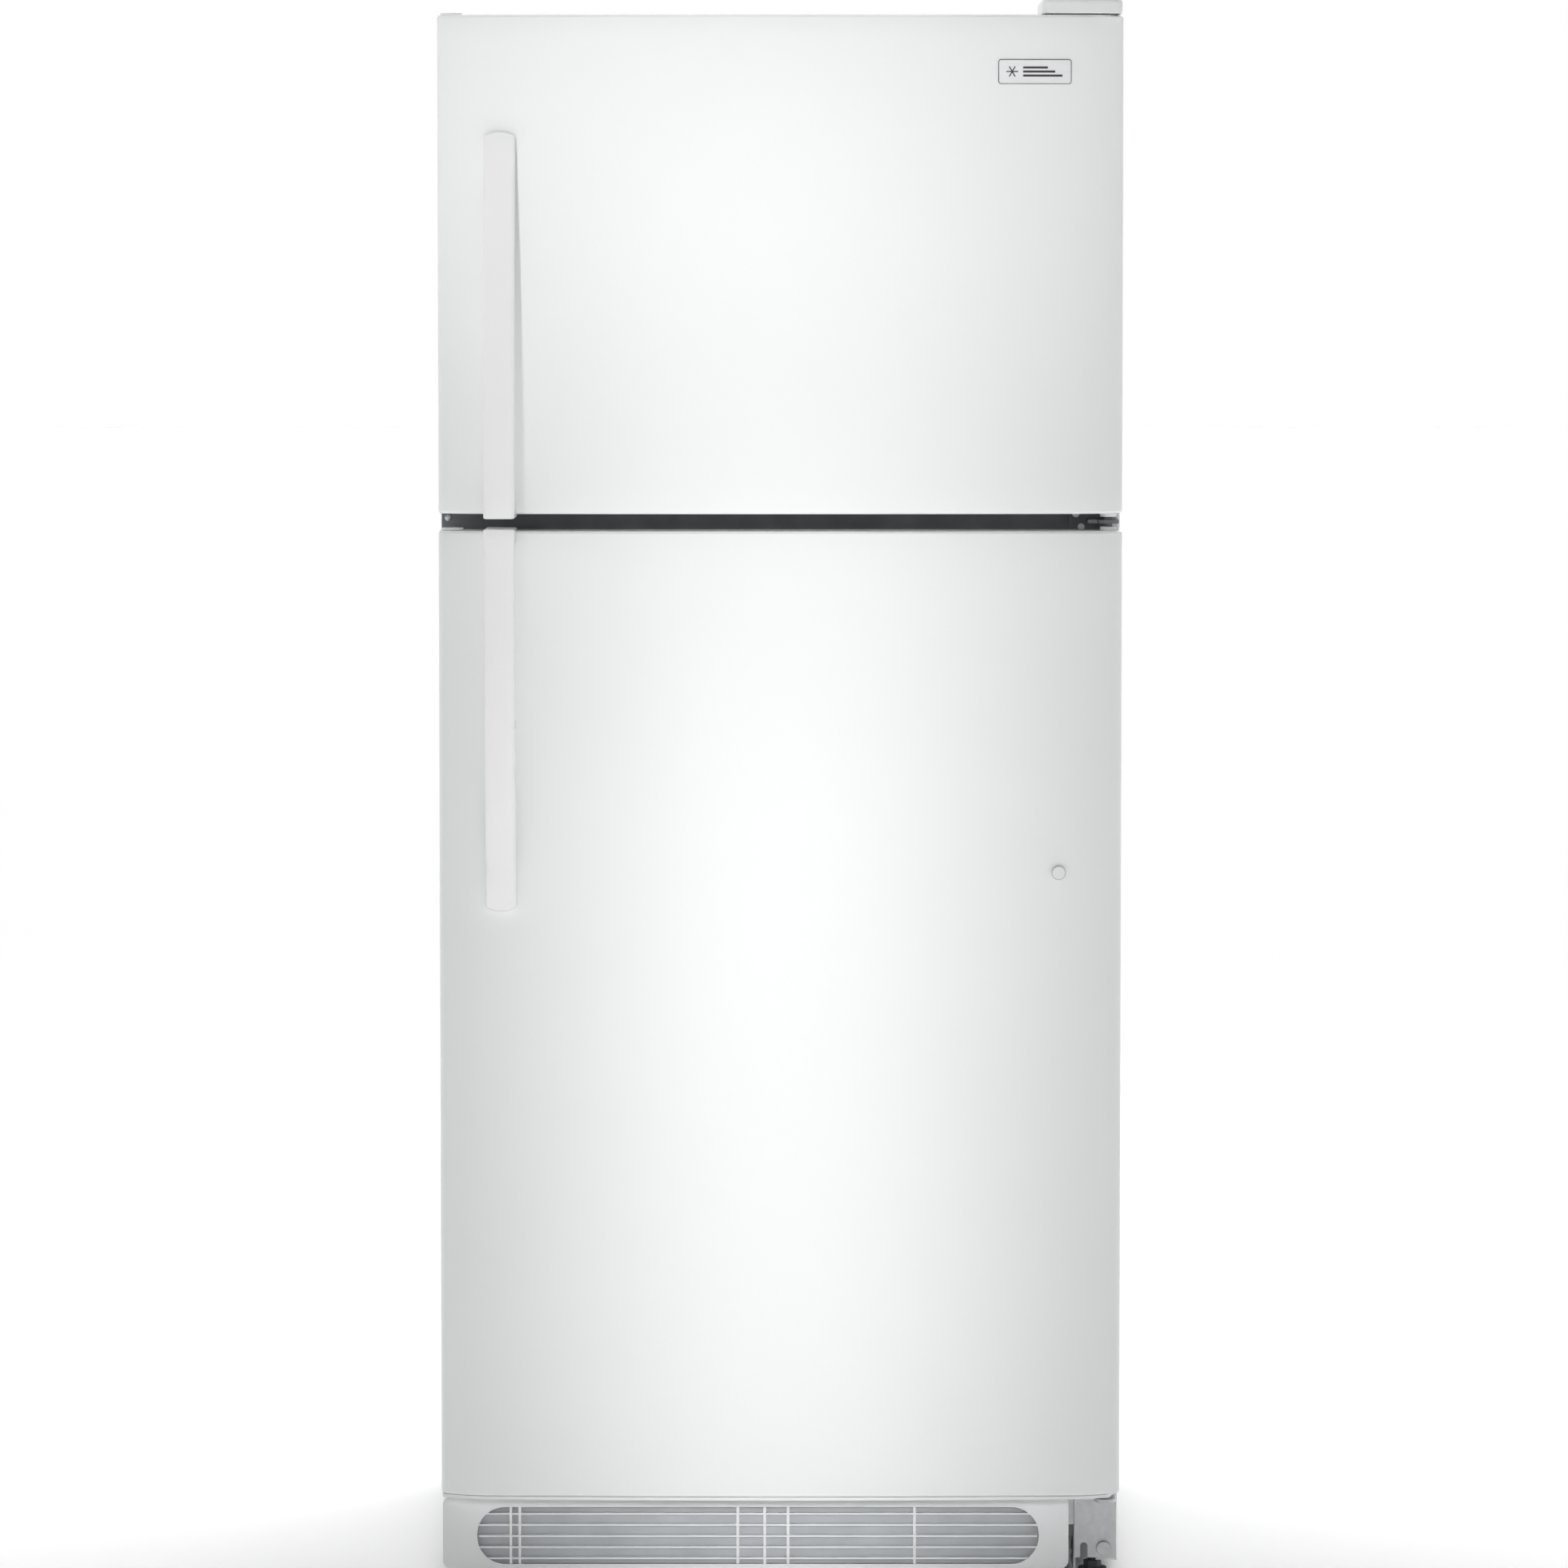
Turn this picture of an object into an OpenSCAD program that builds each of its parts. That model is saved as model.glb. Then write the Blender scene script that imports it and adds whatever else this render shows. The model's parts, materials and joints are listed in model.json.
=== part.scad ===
// Top freezer refrigerator: a foamed cabinet with two right-hinged doors, shelves, drawers,
// a sealed cooling circuit and a rolling base. Millimetres, +Z up, front towards -Y, hinges at +X.

/* [Overall] */
// Width of the cabinet and of both doors
body_w = 752; // [740:1:764]
// Depth from the handles' front to the back cover
body_d = 815; // [805:1:825]
// Height of the cabinet's top panel above the floor
cabinet_h = 1741; // [1741:1:1760]

/* [Doors] */
// Height of the freezer door
freezer_door_h = 545; // [535:1:555]
// Height of the fridge door's lower edge above the floor
fridge_door_z = 104; // [102:1:106]
// Gap between the two doors
door_gap = 19; // [18:0.5:20]
// Depth of a door from its crown to its back
door_t = 75; // [70:1:80]
// How far the middle of a door's face stands in front of its bowed sides
door_bow = 11; // [4:1:16]
// How much further each side edge turns back
edge_turn = 16; // [8:1:20]
// Width of that turned edge
edge_w = 60; // [40:5:80]

/* [Handles] */
// Length of a handle
handle_l = 421; // [380:1:460]
// Width of a handle
handle_w = 34; // [28:1:40]
// How far a handle's standing end is in front of the door's crown
handle_stand = 45; // [40:1:50]
// Distance from the handle's middle line to the door's free edge
handle_inset = 69.5; // [60:0.5:80]

/* [Inside] */
// Thickness of the insulated side walls, liner included
wall_t = 48; // [46:1:52]
// Height of the fresh food compartment's floor
fresh_floor = 150; // [148:1:152]
// Heights of the undersides of the three shelves and of the crisper cover
shelf_z = [388, 552, 762, 966];

/* [Running gear] */
// Radius of the two rear rollers
rear_roller_r = 20; // [19:1:20]
// Radius of the two front rollers
front_roller_r = 18; // [16:1:18]

/* [Hidden] */
$fn = 64;

sheet = 0.9;
gap = 0.3;
seam = 0.05;
half_w = body_w / 2;
back_y = body_d / 2;
crown_y = -body_d / 2 + handle_stand;
door_back = crown_y + door_t;
cab_front = door_back + 12;
cab_back = back_y - 3;
freezer_door_top = cabinet_h - 1.5;
freezer_door_z = freezer_door_top - freezer_door_h;
fridge_door_top = freezer_door_z - door_gap;
seam_z = freezer_door_z - door_gap / 2;

// hinge line and hinge pins, shared by the three hinges
hinge_x = half_w - 15;
hinge_y = door_back - 32.5;
pin_r = 4.5;
bore_r = pin_r + 0.06;
boss_r = 9;
boss_l = 25;

// compartments, as the liners' inner faces
room_x = half_w - wall_t;
room_back = cab_back - 59.5;
freezer_floor = seam_z + 33;
freezer_ceiling = cabinet_h - 51;
fresh_ceiling = seam_z - 33;
hump_y = 128;
hump_z = 340;
liner_t = 2;
ledge_w = 10;
ledge_h = 6;
flange_x = half_w - 24.5;
freezer_shelf_z = 1452;

// machine compartment behind and below the fresh food compartment
deck_y = hump_y + 50;
deck_z = hump_z - 50.5;
pan_z = 26;
pan_t = 2.5;

// door insides
cap_t = 3.5;
skin_t = 1.2;
recess_y = door_back - 12.5;
dike_x = half_w - 60;
dike_w = 24;
dike_back = cab_front + 30.5;
dike_off = 12;
bin_front = dike_back + 45;
bin_x = dike_x - dike_w - 4;
lid_y = bin_front + 2;
lid_z = fresh_ceiling - 44;
lid_l = 96;
lid_t = 3;

switch_x = 200;
switch_z = fresh_ceiling - 22.5;
knob_x = -70;
knob_z = fresh_ceiling - 32;
housing_y = -60;
fan_z = freezer_ceiling - 95;
fan_y = 290;
condenser_fan_x = 20;
condenser_fan_z = 150;
machine_y = 290;
roller_x = 315;
front_roller_y = -215;
rear_roller_y = 330;
axle_r = 4;
leg_x = half_w - 26;
leg_y = cab_front + 30;
leg_r = 5;
deli_x = [-300, -12];
deli_y = [-130, 196];
deli_z = [430, 538];
crisper_y = [-125, 119];
crisper_z = [156.5, 380];

// limits v counted from a middle c
function at(c, v) = [for (e = v) c + e];

// a block between two limits on each axis
module slab(x, y, z) {
    translate([x[0], y[0], z[0]]) cube([x[1] - x[0], y[1] - y[0], z[1] - z[0]]);
}

module both_sides() {
    children();
    mirror([1, 0, 0]) children();
}

// a cylinder that lies along Y or X, from its lower end
module rod_y(r, l) { rotate([-90, 0, 0]) cylinder(r = r, h = l); }
module rod_x(r, l) { rotate([0, 90, 0]) cylinder(r = r, h = l); }

// a flat rectangle with round corners, centred
module round_rect(w, h, r) {
    square([w, h - 2 * r], center = true);
    square([w - 2 * r, h], center = true);
    for (x = [-1, 1], y = [-1, 1]) translate([x * (w / 2 - r), y * (h / 2 - r)]) circle(r);
}

// straight tube runs through the points, with a ball at each turn
module pipe(points, r) {
    for (i = [0 : len(points) - 2]) {
        d = points[i + 1] - points[i];
        translate(points[i]) rotate([0, acos(d[2] / norm(d)), atan2(d[1], d[0])])
            cylinder(r = r, h = norm(d));
    }
    for (i = [1 : len(points) - 2]) translate(points[i]) sphere(r);
}

// an open box with walls of one thickness
module tray(x, y, z, t) {
    difference() {
        slab(x, y, z);
        slab([x[0] + t, x[1] - t], [y[0] + t, y[1] - t], [z[0] + t, z[1] + 1]);
    }
}

// a frame around the line x = 0, seen from the front: outer limits, width of the band, y limits
module ring(x, z, band, y) {
    difference() {
        slab([-x, x], y, z);
        slab([-x + band, x - band], [y[0] - 1, y[1] + 1], [z[0] + band, z[1] - band]);
    }
}

// ---- Door shapes ----

// the bowed face: a shallow parabola across the door and a steeper turn along each side
function face_y(x) = crown_y + door_bow * pow(x / half_w, 2)
    + edge_turn * pow(max(0, (abs(x) - half_w + edge_w) / edge_w), 2.2);

// plan outline of a door, drawn in by 'in' at the front and sides and by 'free' at the right
module door_plan(in, rear, free = 0) {
    xs = [for (i = [0 : 44]) let (s = 2 * i / 44 - 1) sign(s) * pow(abs(s), 0.8) * (half_w - in)];
    polygon(concat([for (x = xs) [min(x, half_w - in - free), face_y(x) + in]],
        [[half_w - in - free, rear], [-half_w + in, rear]]));
}

module door_skin(z) {
    difference() {
        translate([0, 0, z[0] + cap_t + gap]) linear_extrude(z[1] - z[0] - 2 * cap_t - 2 * gap)
            difference() {
                door_plan(0, door_back);
                door_plan(skin_t, door_back - skin_t);
            }
        slab([-half_w + 12, half_w - 12], [door_back - skin_t - 1, door_back + 1], z);
    }
}

// insulation: a bowed main slab and four edge strips round the recess, each convex
module door_foam(z, room) {
    low = z[0] + cap_t + 2 * gap;
    high = z[1] - cap_t - 2 * gap;
    side = half_w - skin_t - gap;
    back = [recess_y - liner_t, door_back - skin_t - gap];
    difference() {
        union() {
            translate([0, 0, low]) linear_extrude(high - low)
                door_plan(skin_t + gap, recess_y - liner_t - gap);
            both_sides() slab([dike_x + 2 * gap, side], back, [low, high]);
            slab([-dike_x, dike_x], back, [low, room[0] + dike_off - 2 * gap]);
            slab([-dike_x, dike_x], back, [room[1] - dike_off + 2 * gap, high]);
        }
        both_sides() for (e = [z[0] - 1, z[1] - boss_l - 2])
            translate([hinge_x, hinge_y, e]) cylinder(r = boss_r + gap, h = boss_l + 3);
    }
}

// inner liner: a flange round the door, a raised dike and a recessed floor
module door_liner(z, room, shelves) {
    low = room[0] + dike_off;
    high = room[1] - dike_off;
    side = dike_x - dike_w;
    plate = [door_back + gap, door_back + gap + liner_t];
    ridge = [recess_y - liner_t, dike_back];
    both_sides() {
        slab([side, dike_x], ridge, [low, high]);
        slab([dike_x + seam, half_w - 10], plate, [z[0] + 8, z[1] - 8]);
    }
    for (v = [[low, low + dike_w], [high - dike_w, high]]) slab([-side + seam, side - seam], ridge, v);
    for (v = [[z[0] + 8, low - seam], [high + seam, z[1] - 8]]) slab([-dike_x, dike_x], plate, v);
    slab([-side + seam, side - seam], [ridge[0], recess_y], [low + dike_w + seam, high - dike_w - seam]);
    // stops that the bins hang on
    for (h = shelves) both_sides()
        slab([side - 12, side - seam], [recess_y + 12, recess_y + 45], [h - 7, h - gap]);
}

// a door bin: a floor and four walls, a hairline apart like the door liner's sides
module bin(h, tall) {
    y = [recess_y + gap, bin_front];
    t = 3;
    color([0.92, 0.95, 0.97, 0.6]) {
        slab([-bin_x, bin_x], y, [h, h + t]);
        both_sides() slab([bin_x - t, bin_x], y, [h + t + seam, h + tall]);
        for (v = [[y[0], y[0] + t], [y[1] - t, y[1]]])
            slab([-bin_x + t + seam, bin_x - t - seam], v, [h + t + seam, h + tall]);
    }
}

module door_gasket(z) {
    color("gainsboro") ring(half_w - 24, [z[0] + 12, z[1] - 12], 17, [door_back + gap + liner_t + gap,
        cab_front - gap]);
}

// end caps with the hinge bores at the right and the blanked bores at the left
module door_caps(z, washer_z) {
    color("white") {
        for (e = [0, 1]) {
            end = e == 0 ? z[0] : z[1] - cap_t;
            boss = e == 0 ? z[0] : z[1] - boss_l;
            difference() {
                union() {
                    translate([0, 0, end]) linear_extrude(cap_t) door_plan(1.5, door_back - 1, 8);
                    both_sides() translate([hinge_x, hinge_y, boss]) cylinder(r = boss_r, h = boss_l);
                    if (washer_z == e) translate([hinge_x, hinge_y, e == 0 ? z[0] - 4 : z[1]])
                        cylinder(r = boss_r, h = 4);
                }
                both_sides() translate([hinge_x, hinge_y, boss - (e == 0 ? 5 : 1)])
                    cylinder(r = bore_r, h = boss_l + 6);
            }
        }
        // blanking plug in the unused bore at the door's top
        translate([-hinge_x, hinge_y, z[1] - 12]) cylinder(r = pin_r, h = 12);
        translate([-hinge_x, hinge_y, z[1] + gap]) cylinder(r = 12, h = 2.5);
        translate([-hinge_x, hinge_y, z[1] - 1]) cylinder(r = pin_r, h = 2);
    }
}

// side view of a handle that stands at its lower end and runs out on the door at the top
module handle_profile() {
    foot = face_y(half_w - handle_inset - handle_w / 2) - 0.4;
    tip = foot - 7;
    front = crown_y - handle_stand;
    steps = 28;
    function out(t) = front + (tip - front) * pow(t, 2.1);
    outer = [for (i = [0 : steps]) let (t = i / steps) [out(t), t * handle_l]];
    inner = [for (i = [steps : -1 : 1]) let (t = i / steps)
        [min(foot, out(t) + 12 + 3 * t), max(16, t * handle_l)]];
    polygon(concat(outer, inner, [[foot, 16], [foot, 3.7], [crown_y + 28, 3.7], [crown_y + 28, 0]]));
}

// the freezer's handle; the fridge's is its mirror image in the seam
module handle() {
    mid = -half_w + handle_inset;
    low = seam_z + 5.5;
    sagitta = 5;
    end_r = (pow(handle_w / 2, 2) + sagitta * sagitta) / (2 * sagitta);
    color("white") intersection() {
        translate([mid - handle_w / 2, 0, low]) rotate([90, 0, 90])
            linear_extrude(handle_w) handle_profile();
        translate([mid, 0, low]) rotate([90, 0, 0]) linear_extrude(900, center = true) {
            translate([-handle_w / 2, 0]) square([handle_w, handle_l - sagitta]);
            intersection() {
                translate([0, handle_l - end_r]) circle(end_r);
                translate([-handle_w / 2, handle_l - sagitta - 1]) square([handle_w, sagitta + 2]);
            }
        }
    }
}

// ---- Doors ----
freezer_z = [freezer_door_z, freezer_door_top];
freezer_room = [freezer_floor, freezer_ceiling];
freezer_bins = [freezer_floor + 44, freezer_floor + 250];
fridge_z = [fridge_door_z, fridge_door_top];
fridge_room = [fresh_floor, fresh_ceiling];
fridge_bins = [fresh_floor + 52, fresh_floor + 322, fresh_floor + 592];
dairy_z = lid_z - lid_l - 6;

module freezer_door_panel() { color("white") door_skin(freezer_z); }
module freezer_door_foam() { color("khaki") door_foam(freezer_z, freezer_room); }
module freezer_door_liner() { color("whitesmoke") door_liner(freezer_z, freezer_room, freezer_bins); }
module freezer_door_gasket() { door_gasket(freezer_z); }
module freezer_door_caps() { door_caps(freezer_z, 0); }
module freezer_door_bins() { for (h = freezer_bins) bin(h, 80); }
module freezer_door_handle() { handle(); }
module badge_plate() {
    color("silver") intersection() {
        translate([half_w - 98, 0, freezer_door_top - 62]) rotate([90, 0, 0])
            linear_extrude(900, center = true) round_rect(80, 27, 2.5);
        linear_extrude(cabinet_h) difference() {
            door_plan(-1.6, 0);
            door_plan(-gap, 1);
        }
    }
}

module fridge_door_panel() { color("white") door_skin(fridge_z); }
module fridge_door_foam() { color("khaki") door_foam(fridge_z, fridge_room); }
module fridge_door_liner() {
    color("whitesmoke") door_liner(fridge_z, fridge_room, concat(fridge_bins, [dairy_z]));
}
// three storage bins and the dairy compartment with the ears that its lid turns in
module fridge_door_bins() {
    for (h = fridge_bins) bin(h, 95);
    bin(dairy_z, 20);
    color([0.92, 0.95, 0.97, 0.6]) both_sides() {
        slab([bin_x - 3, bin_x], [recess_y + gap, bin_front - 8], [dairy_z + 20 + seam, lid_z + 6]);
        slab([bin_x - 3, bin_x], [bin_front - 9, bin_front + 8], [lid_z - 8, lid_z + 6]);
        translate([bin_x - 11, lid_y, lid_z]) rod_x(2.94, 9);
    }
}
module fridge_door_gasket() { door_gasket(fridge_z); }
module fridge_door_caps() {
    door_caps(fridge_z, 1);
    // round blanking button in the spare handle screw hole
    color("white") translate([half_w - 70, face_y(half_w - 70) - 4.6, 800]) rod_y(7, 3.6);
}
module fridge_door_handle() {
    translate([0, 0, 2 * seam_z]) mirror([0, 0, 1]) handle();
}
module dairy_lid() {
    x = bin_x - 4;
    low = lid_z - lid_l + 16;
    color([0.9, 0.95, 0.98, 0.5]) difference() {
        union() {
            slab([-x, x], at(lid_y, [-lid_t / 2, lid_t / 2]), [low, lid_z]);
            translate([-x, lid_y, lid_z]) rod_x(5, 2 * x);
            slab([-40, 40], [lid_y + lid_t / 2 - 1, lid_y + 10], [low + 2, low + 6]);
        }
        both_sides() translate([bin_x - 12, lid_y, lid_z]) rod_x(3, 20);
    }
}

// ---- Cabinet shell ----
// two side sheets and a top sheet, each with a front flange
module cabinet_wrapper() {
    inner = half_w - sheet - gap;
    color("white") both_sides() {
        slab([half_w - sheet, half_w], [cab_front, cab_back], [22, cabinet_h]);
        slab([half_w - 24, half_w], [cab_front, cab_front + sheet], [22, cabinet_h]);
    }
    color("white") {
        slab([-inner, inner], [cab_front + sheet + gap, cab_back], [cabinet_h - sheet, cabinet_h]);
        slab([-half_w + 24.3, half_w - 24.3], [cab_front, cab_front + sheet], [cabinet_h - 24, cabinet_h]);
        slab([-half_w + 24.3, half_w - 24.3], [cab_front, cab_front + 3], [cabinet_h - sheet, cabinet_h]);
    }
}
module rear_panel() {
    inner = half_w - sheet - gap;
    color("lightgray")
        slab([-inner, inner], [cab_back - sheet, cab_back], [hump_z - 30, cabinet_h - sheet - gap]);
}
module rear_cover() {
    y = [cab_back + 0.2, back_y];
    color("dimgray") difference() {
        slab([-half_w + 8, half_w - 8], y, [32, hump_z - 8]);
        for (row = [0 : 5], col = [-3 : 3]) translate([col * 92, y[0] - 1, 90 + row * 34])
            slab([-32, 32], [0, 5], [-3, 3]);
        slab([half_w - 92, half_w - 38], [y[0] - 1, y[1] + 1], [48, 84]);
    }
}
module cabinet_insulation() {
    y = [cab_front + 2.3, cab_back - 1.6];
    side = [room_x + liner_t + gap, half_w - sheet - gap];
    floor_z = fresh_floor - liner_t - gap;
    color("khaki") {
        both_sides() {
            slab(side, y, [hump_z, cabinet_h - 1.4]);
            slab(side, [y[0], deck_y], [fridge_door_z, hump_z - gap]);
        }
        slab([-room_x - liner_t, room_x + liner_t], y, [freezer_ceiling + 2.3, cabinet_h - 1.4]);
        slab([-room_x - 2, room_x + 2], [room_back + 2.3, y[1]], [hump_z, freezer_ceiling + 2]);
        slab([-room_x - 2, room_x + 2], [y[0], room_back + 2], [fresh_ceiling + 2.3, freezer_floor - 2.3]);
        slab([-room_x - 2, room_x + 2], [y[0], deck_y], [fridge_door_z, floor_z]);
        slab([-room_x - 2, room_x + 2], [hump_y + 2.3, deck_y], [floor_z + gap, deck_z]);
        slab([-room_x - 2, room_x + 2], [hump_y + 2.3, y[1]], [deck_z + gap, hump_z - 2.3]);
    }
}
// a strip along both side walls that a shelf rests on
module ledges(z, y) {
    both_sides() slab([room_x - ledge_w, room_x + 1], y, [z - ledge_h, z - 0.2]);
}
module freezer_liner() {
    z = [freezer_floor, freezer_ceiling];
    color("whitesmoke") {
        difference() {
            union() {
                slab([-room_x - 2, room_x + 2], [cab_front, room_back + 2], [z[0] - 2, z[1] + 2]);
                slab([-flange_x, flange_x], [cab_front, cab_front + 2], [seam_z + 25.3, z[1] + 25.5]);
            }
            slab([-room_x, room_x], [cab_front - 1, room_back], z);
        }
        ledges(freezer_shelf_z, [-150, 250]);
    }
}
module fresh_profile(t) {
    front = cab_front - (t == 0 ? 1 : 0);
    polygon([[front, fresh_floor - t], [hump_y + t, fresh_floor - t], [hump_y + t, hump_z - t],
        [room_back + t, hump_z - t], [room_back + t, fresh_ceiling + t], [front, fresh_ceiling + t]]);
}
module fresh_food_liner() {
    color("whitesmoke") {
        difference() {
            union() {
                rotate([90, 0, 90]) linear_extrude(2 * room_x + 4, center = true) fresh_profile(2);
                slab([-flange_x, flange_x], [cab_front, cab_front + 2], [fresh_floor - 26, seam_z - 25.3]);
            }
            rotate([90, 0, 90]) linear_extrude(2 * room_x, center = true) fresh_profile(0);
        }
        for (z = shelf_z) ledges(z, [-140, z < 400 ? 120 : 300]);
        // runners under the crispers
        for (x = [-290, -35, 35, 290])
            slab([x - 5, x + 5], [-120, 115], [fresh_floor - 1, crisper_z[0] - gap]);
    }
}
module mullion_rail() {
    color("dimgray")
        slab([-flange_x, flange_x], [cab_front, cab_front + 2], [seam_z - 25, seam_z + 25]);
}

// ---- Base ----
module base_frame() {
    x = half_w - sheet - gap;
    color("silver") difference() {
        union() {
            slab([-flange_x, flange_x], [cab_front, cab_front + 2], [62, fresh_floor - 26.5]);
            slab([-x, x], [cab_front + 1.5, deck_y + 1.8], [fridge_door_z - 2.5, fridge_door_z - 0.5]);
            slab([-x, x], [deck_y + gap, deck_y + 1.8], [pan_z, deck_z]);
            slab([-x, x], [deck_y + gap, cab_back - 1.2], [deck_z - 1.5, deck_z]);
            slab([-x, x], [deck_y + gap, cab_back - 1.2], [pan_z, pan_z + pan_t]);
            both_sides() {
                slab([roller_x - 17, roller_x - 14.5], [cab_front + 1.5, deck_y + 1], [10, 103]);
                slab([roller_x + 13, roller_x + 15.5], [leg_y - 17, front_roller_y + 25], [10, 103]);
                slab([roller_x + 13, x], [leg_y - 17, leg_y + 17], [44, 48]);
                for (b = [roller_x - 17, roller_x + 14.5])
                    slab([b, b + 2.5], [rear_roller_y - 14, rear_roller_y + 14], [10, pan_z + 1]);
            }
        }
        both_sides() {
            translate([roller_x - 30, front_roller_y, front_roller_r + 2]) rod_x(axle_r + 0.06, 60);
            translate([roller_x - 30, rear_roller_y, rear_roller_r]) rod_x(axle_r + 0.06, 60);
            slab([roller_x - 14, roller_x + 14], at(rear_roller_y, [-22, 22]), [pan_z - 1, pan_z + 4]);
            translate([leg_x, leg_y, 40]) cylinder(r = leg_r + 0.06, h = 12);
        }
    }
}
module roller(r, side, y, z) {
    translate([side * roller_x - 11, y, z]) rod_x(r, 22);
}
module front_roller(side) {
    color("gray") {
        roller(front_roller_r, side, front_roller_y, front_roller_r + 2);
        translate([side * roller_x - 18.5, front_roller_y, front_roller_r + 2]) rod_x(axle_r, 37);
    }
}
module front_roller_left() { front_roller(-1); }
module front_roller_right() { front_roller(1); }
module rear_rollers() {
    color("gray") {
        for (side = [-1, 1]) roller(rear_roller_r, side, rear_roller_y, rear_roller_r);
        translate([-roller_x - 20, rear_roller_y, rear_roller_r]) rod_x(axle_r, 2 * roller_x + 40);
    }
}
module levelling_leg(side) {
    color("black") translate([side * leg_x, leg_y, 0]) {
        cylinder(r = 16, h = 9);
        cylinder(r = leg_r, h = 78);
        translate([0, 0, 9]) cylinder(r = 10, h = 8, $fn = 6);
    }
}
module levelling_leg_left() { levelling_leg(-1); }
module levelling_leg_right() { levelling_leg(1); }

// kick plate: a fascia with a long opening, crossed by louvres and stiffening posts
module toe_grille() {
    x = [-half_w, half_w - 55];
    z = [17, 98];
    y = [cab_front - 25, cab_front - 3];
    left = x[0] + 38;
    right = x[1] - 33;
    mid = (left + right) / 2;
    color("gainsboro") {
        difference() {
            translate([(x[0] + x[1]) / 2, y[1], (z[0] + z[1]) / 2]) rotate([90, 0, 0])
                linear_extrude(y[1] - y[0]) round_rect(x[1] - x[0], z[1] - z[0], 9);
            // hollow behind the fascia
            slab([x[0] + 3, x[1] - 3], [y[0] + 3, y[1] + 1], [z[0] + 3, z[1] - 3]);
            translate([mid, y[0] + 5, 54]) rotate([90, 0, 0])
                linear_extrude(10) round_rect(right - left, 64, 31.5);
        }
        for (row = [27 : 12.5 : 77]) slab([left + 2, right - 2], [y[0] + 1.5, y[0] + 9], [row, row + 2]);
        for (p = [left + 36, left + 46, mid - 24, mid + 6, mid + 32, right - 140])
            slab([p, p + 3], [y[0] + 2.5, y[0] + 12], [19, 89]);
    }
}

// ---- Hinges ----
module top_hinge() {
    z = [cabinet_h, cabinet_h + 4];
    color("silver") difference() {
        union() {
            slab([hinge_x - 60, hinge_x + 8], [hinge_y + 30, -206], z);
            slab([hinge_x - 12, hinge_x + 8], [hinge_y, hinge_y + 60], z);
            translate([hinge_x, hinge_y, z[0]]) cylinder(r = 8, h = 4);
            translate([hinge_x, hinge_y, z[0] - 24]) cylinder(r = pin_r, h = 25);
        }
        for (p = top_screws) translate([p[0], p[1], z[0] - 1]) cylinder(r = 2.6, h = 6);
    }
}
top_screws = [[hinge_x - 48, -224], [hinge_x - 6, -224], [hinge_x - 27, -250]];
module hinge_cover() {
    x = [hinge_x - 75, half_w - 2];
    y = [crown_y + 10.5, -200];
    w = x[1] - x[0];
    d = y[1] - y[0];
    color("gainsboro") translate([x[0] + w / 2, y[0] + d / 2, cabinet_h]) difference() {
        union() {
            linear_extrude(14) round_rect(w, d, 8);
            translate([0, 0, 14]) linear_extrude(4) round_rect(w - 4, d - 4, 7);
        }
        translate([0, 0, -1]) linear_extrude(17) round_rect(w - 8, d - 8, 5);
    }
}
module centre_hinge() {
    color("dimgray") {
        slab([hinge_x - 42, hinge_x + 4], [cab_front - 3, cab_front], at(seam_z, [-13, 12]));
        slab([hinge_x - 22, hinge_x + 12], [hinge_y, cab_front], at(seam_z, [-2, 2]));
        translate([hinge_x, hinge_y, seam_z - 2]) cylinder(r = 12, h = 4);
        translate([hinge_x, hinge_y, seam_z - 22]) cylinder(r = pin_r, h = 44);
    }
}
module lower_hinge() {
    z = fridge_door_z - 8;
    color("dimgray") {
        difference() {
            union() {
                slab([half_w - 48, half_w - 1], [cab_front - 3, cab_front], [25, z + 4]);
                slab([half_w - 40, half_w - 3], [hinge_y, cab_front], [z, z + 4]);
                translate([hinge_x, hinge_y, z]) cylinder(r = 12, h = 4);
                translate([hinge_x, hinge_y, z]) cylinder(r = pin_r, h = 28);
            }
            slab([half_w - 41, half_w - 33], [cab_front - 4, cab_front + 1], [20, 38]);
            translate([half_w - 37, cab_front - 4, 38]) rod_y(4, 5);
        }
    }
}
module cabinet_screws() {
    color("silver") {
        for (p = top_screws) translate([p[0], p[1], cabinet_h + 0.2]) {
            cylinder(r = 2.5, h = 5);
            translate([0, 0, 3.8]) cylinder(r = 6, h = 4);
        }
        // centre hinge screws and the front roller adjuster
        for (x = [-34, -28]) translate([hinge_x + x, cab_front - 5.5, seam_z + (x == -34 ? 7 : -7)])
            rod_y(4, 2.5);
        translate([hinge_x, cab_front - 8, 36]) rod_y(8, 5);
    }
}

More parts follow.
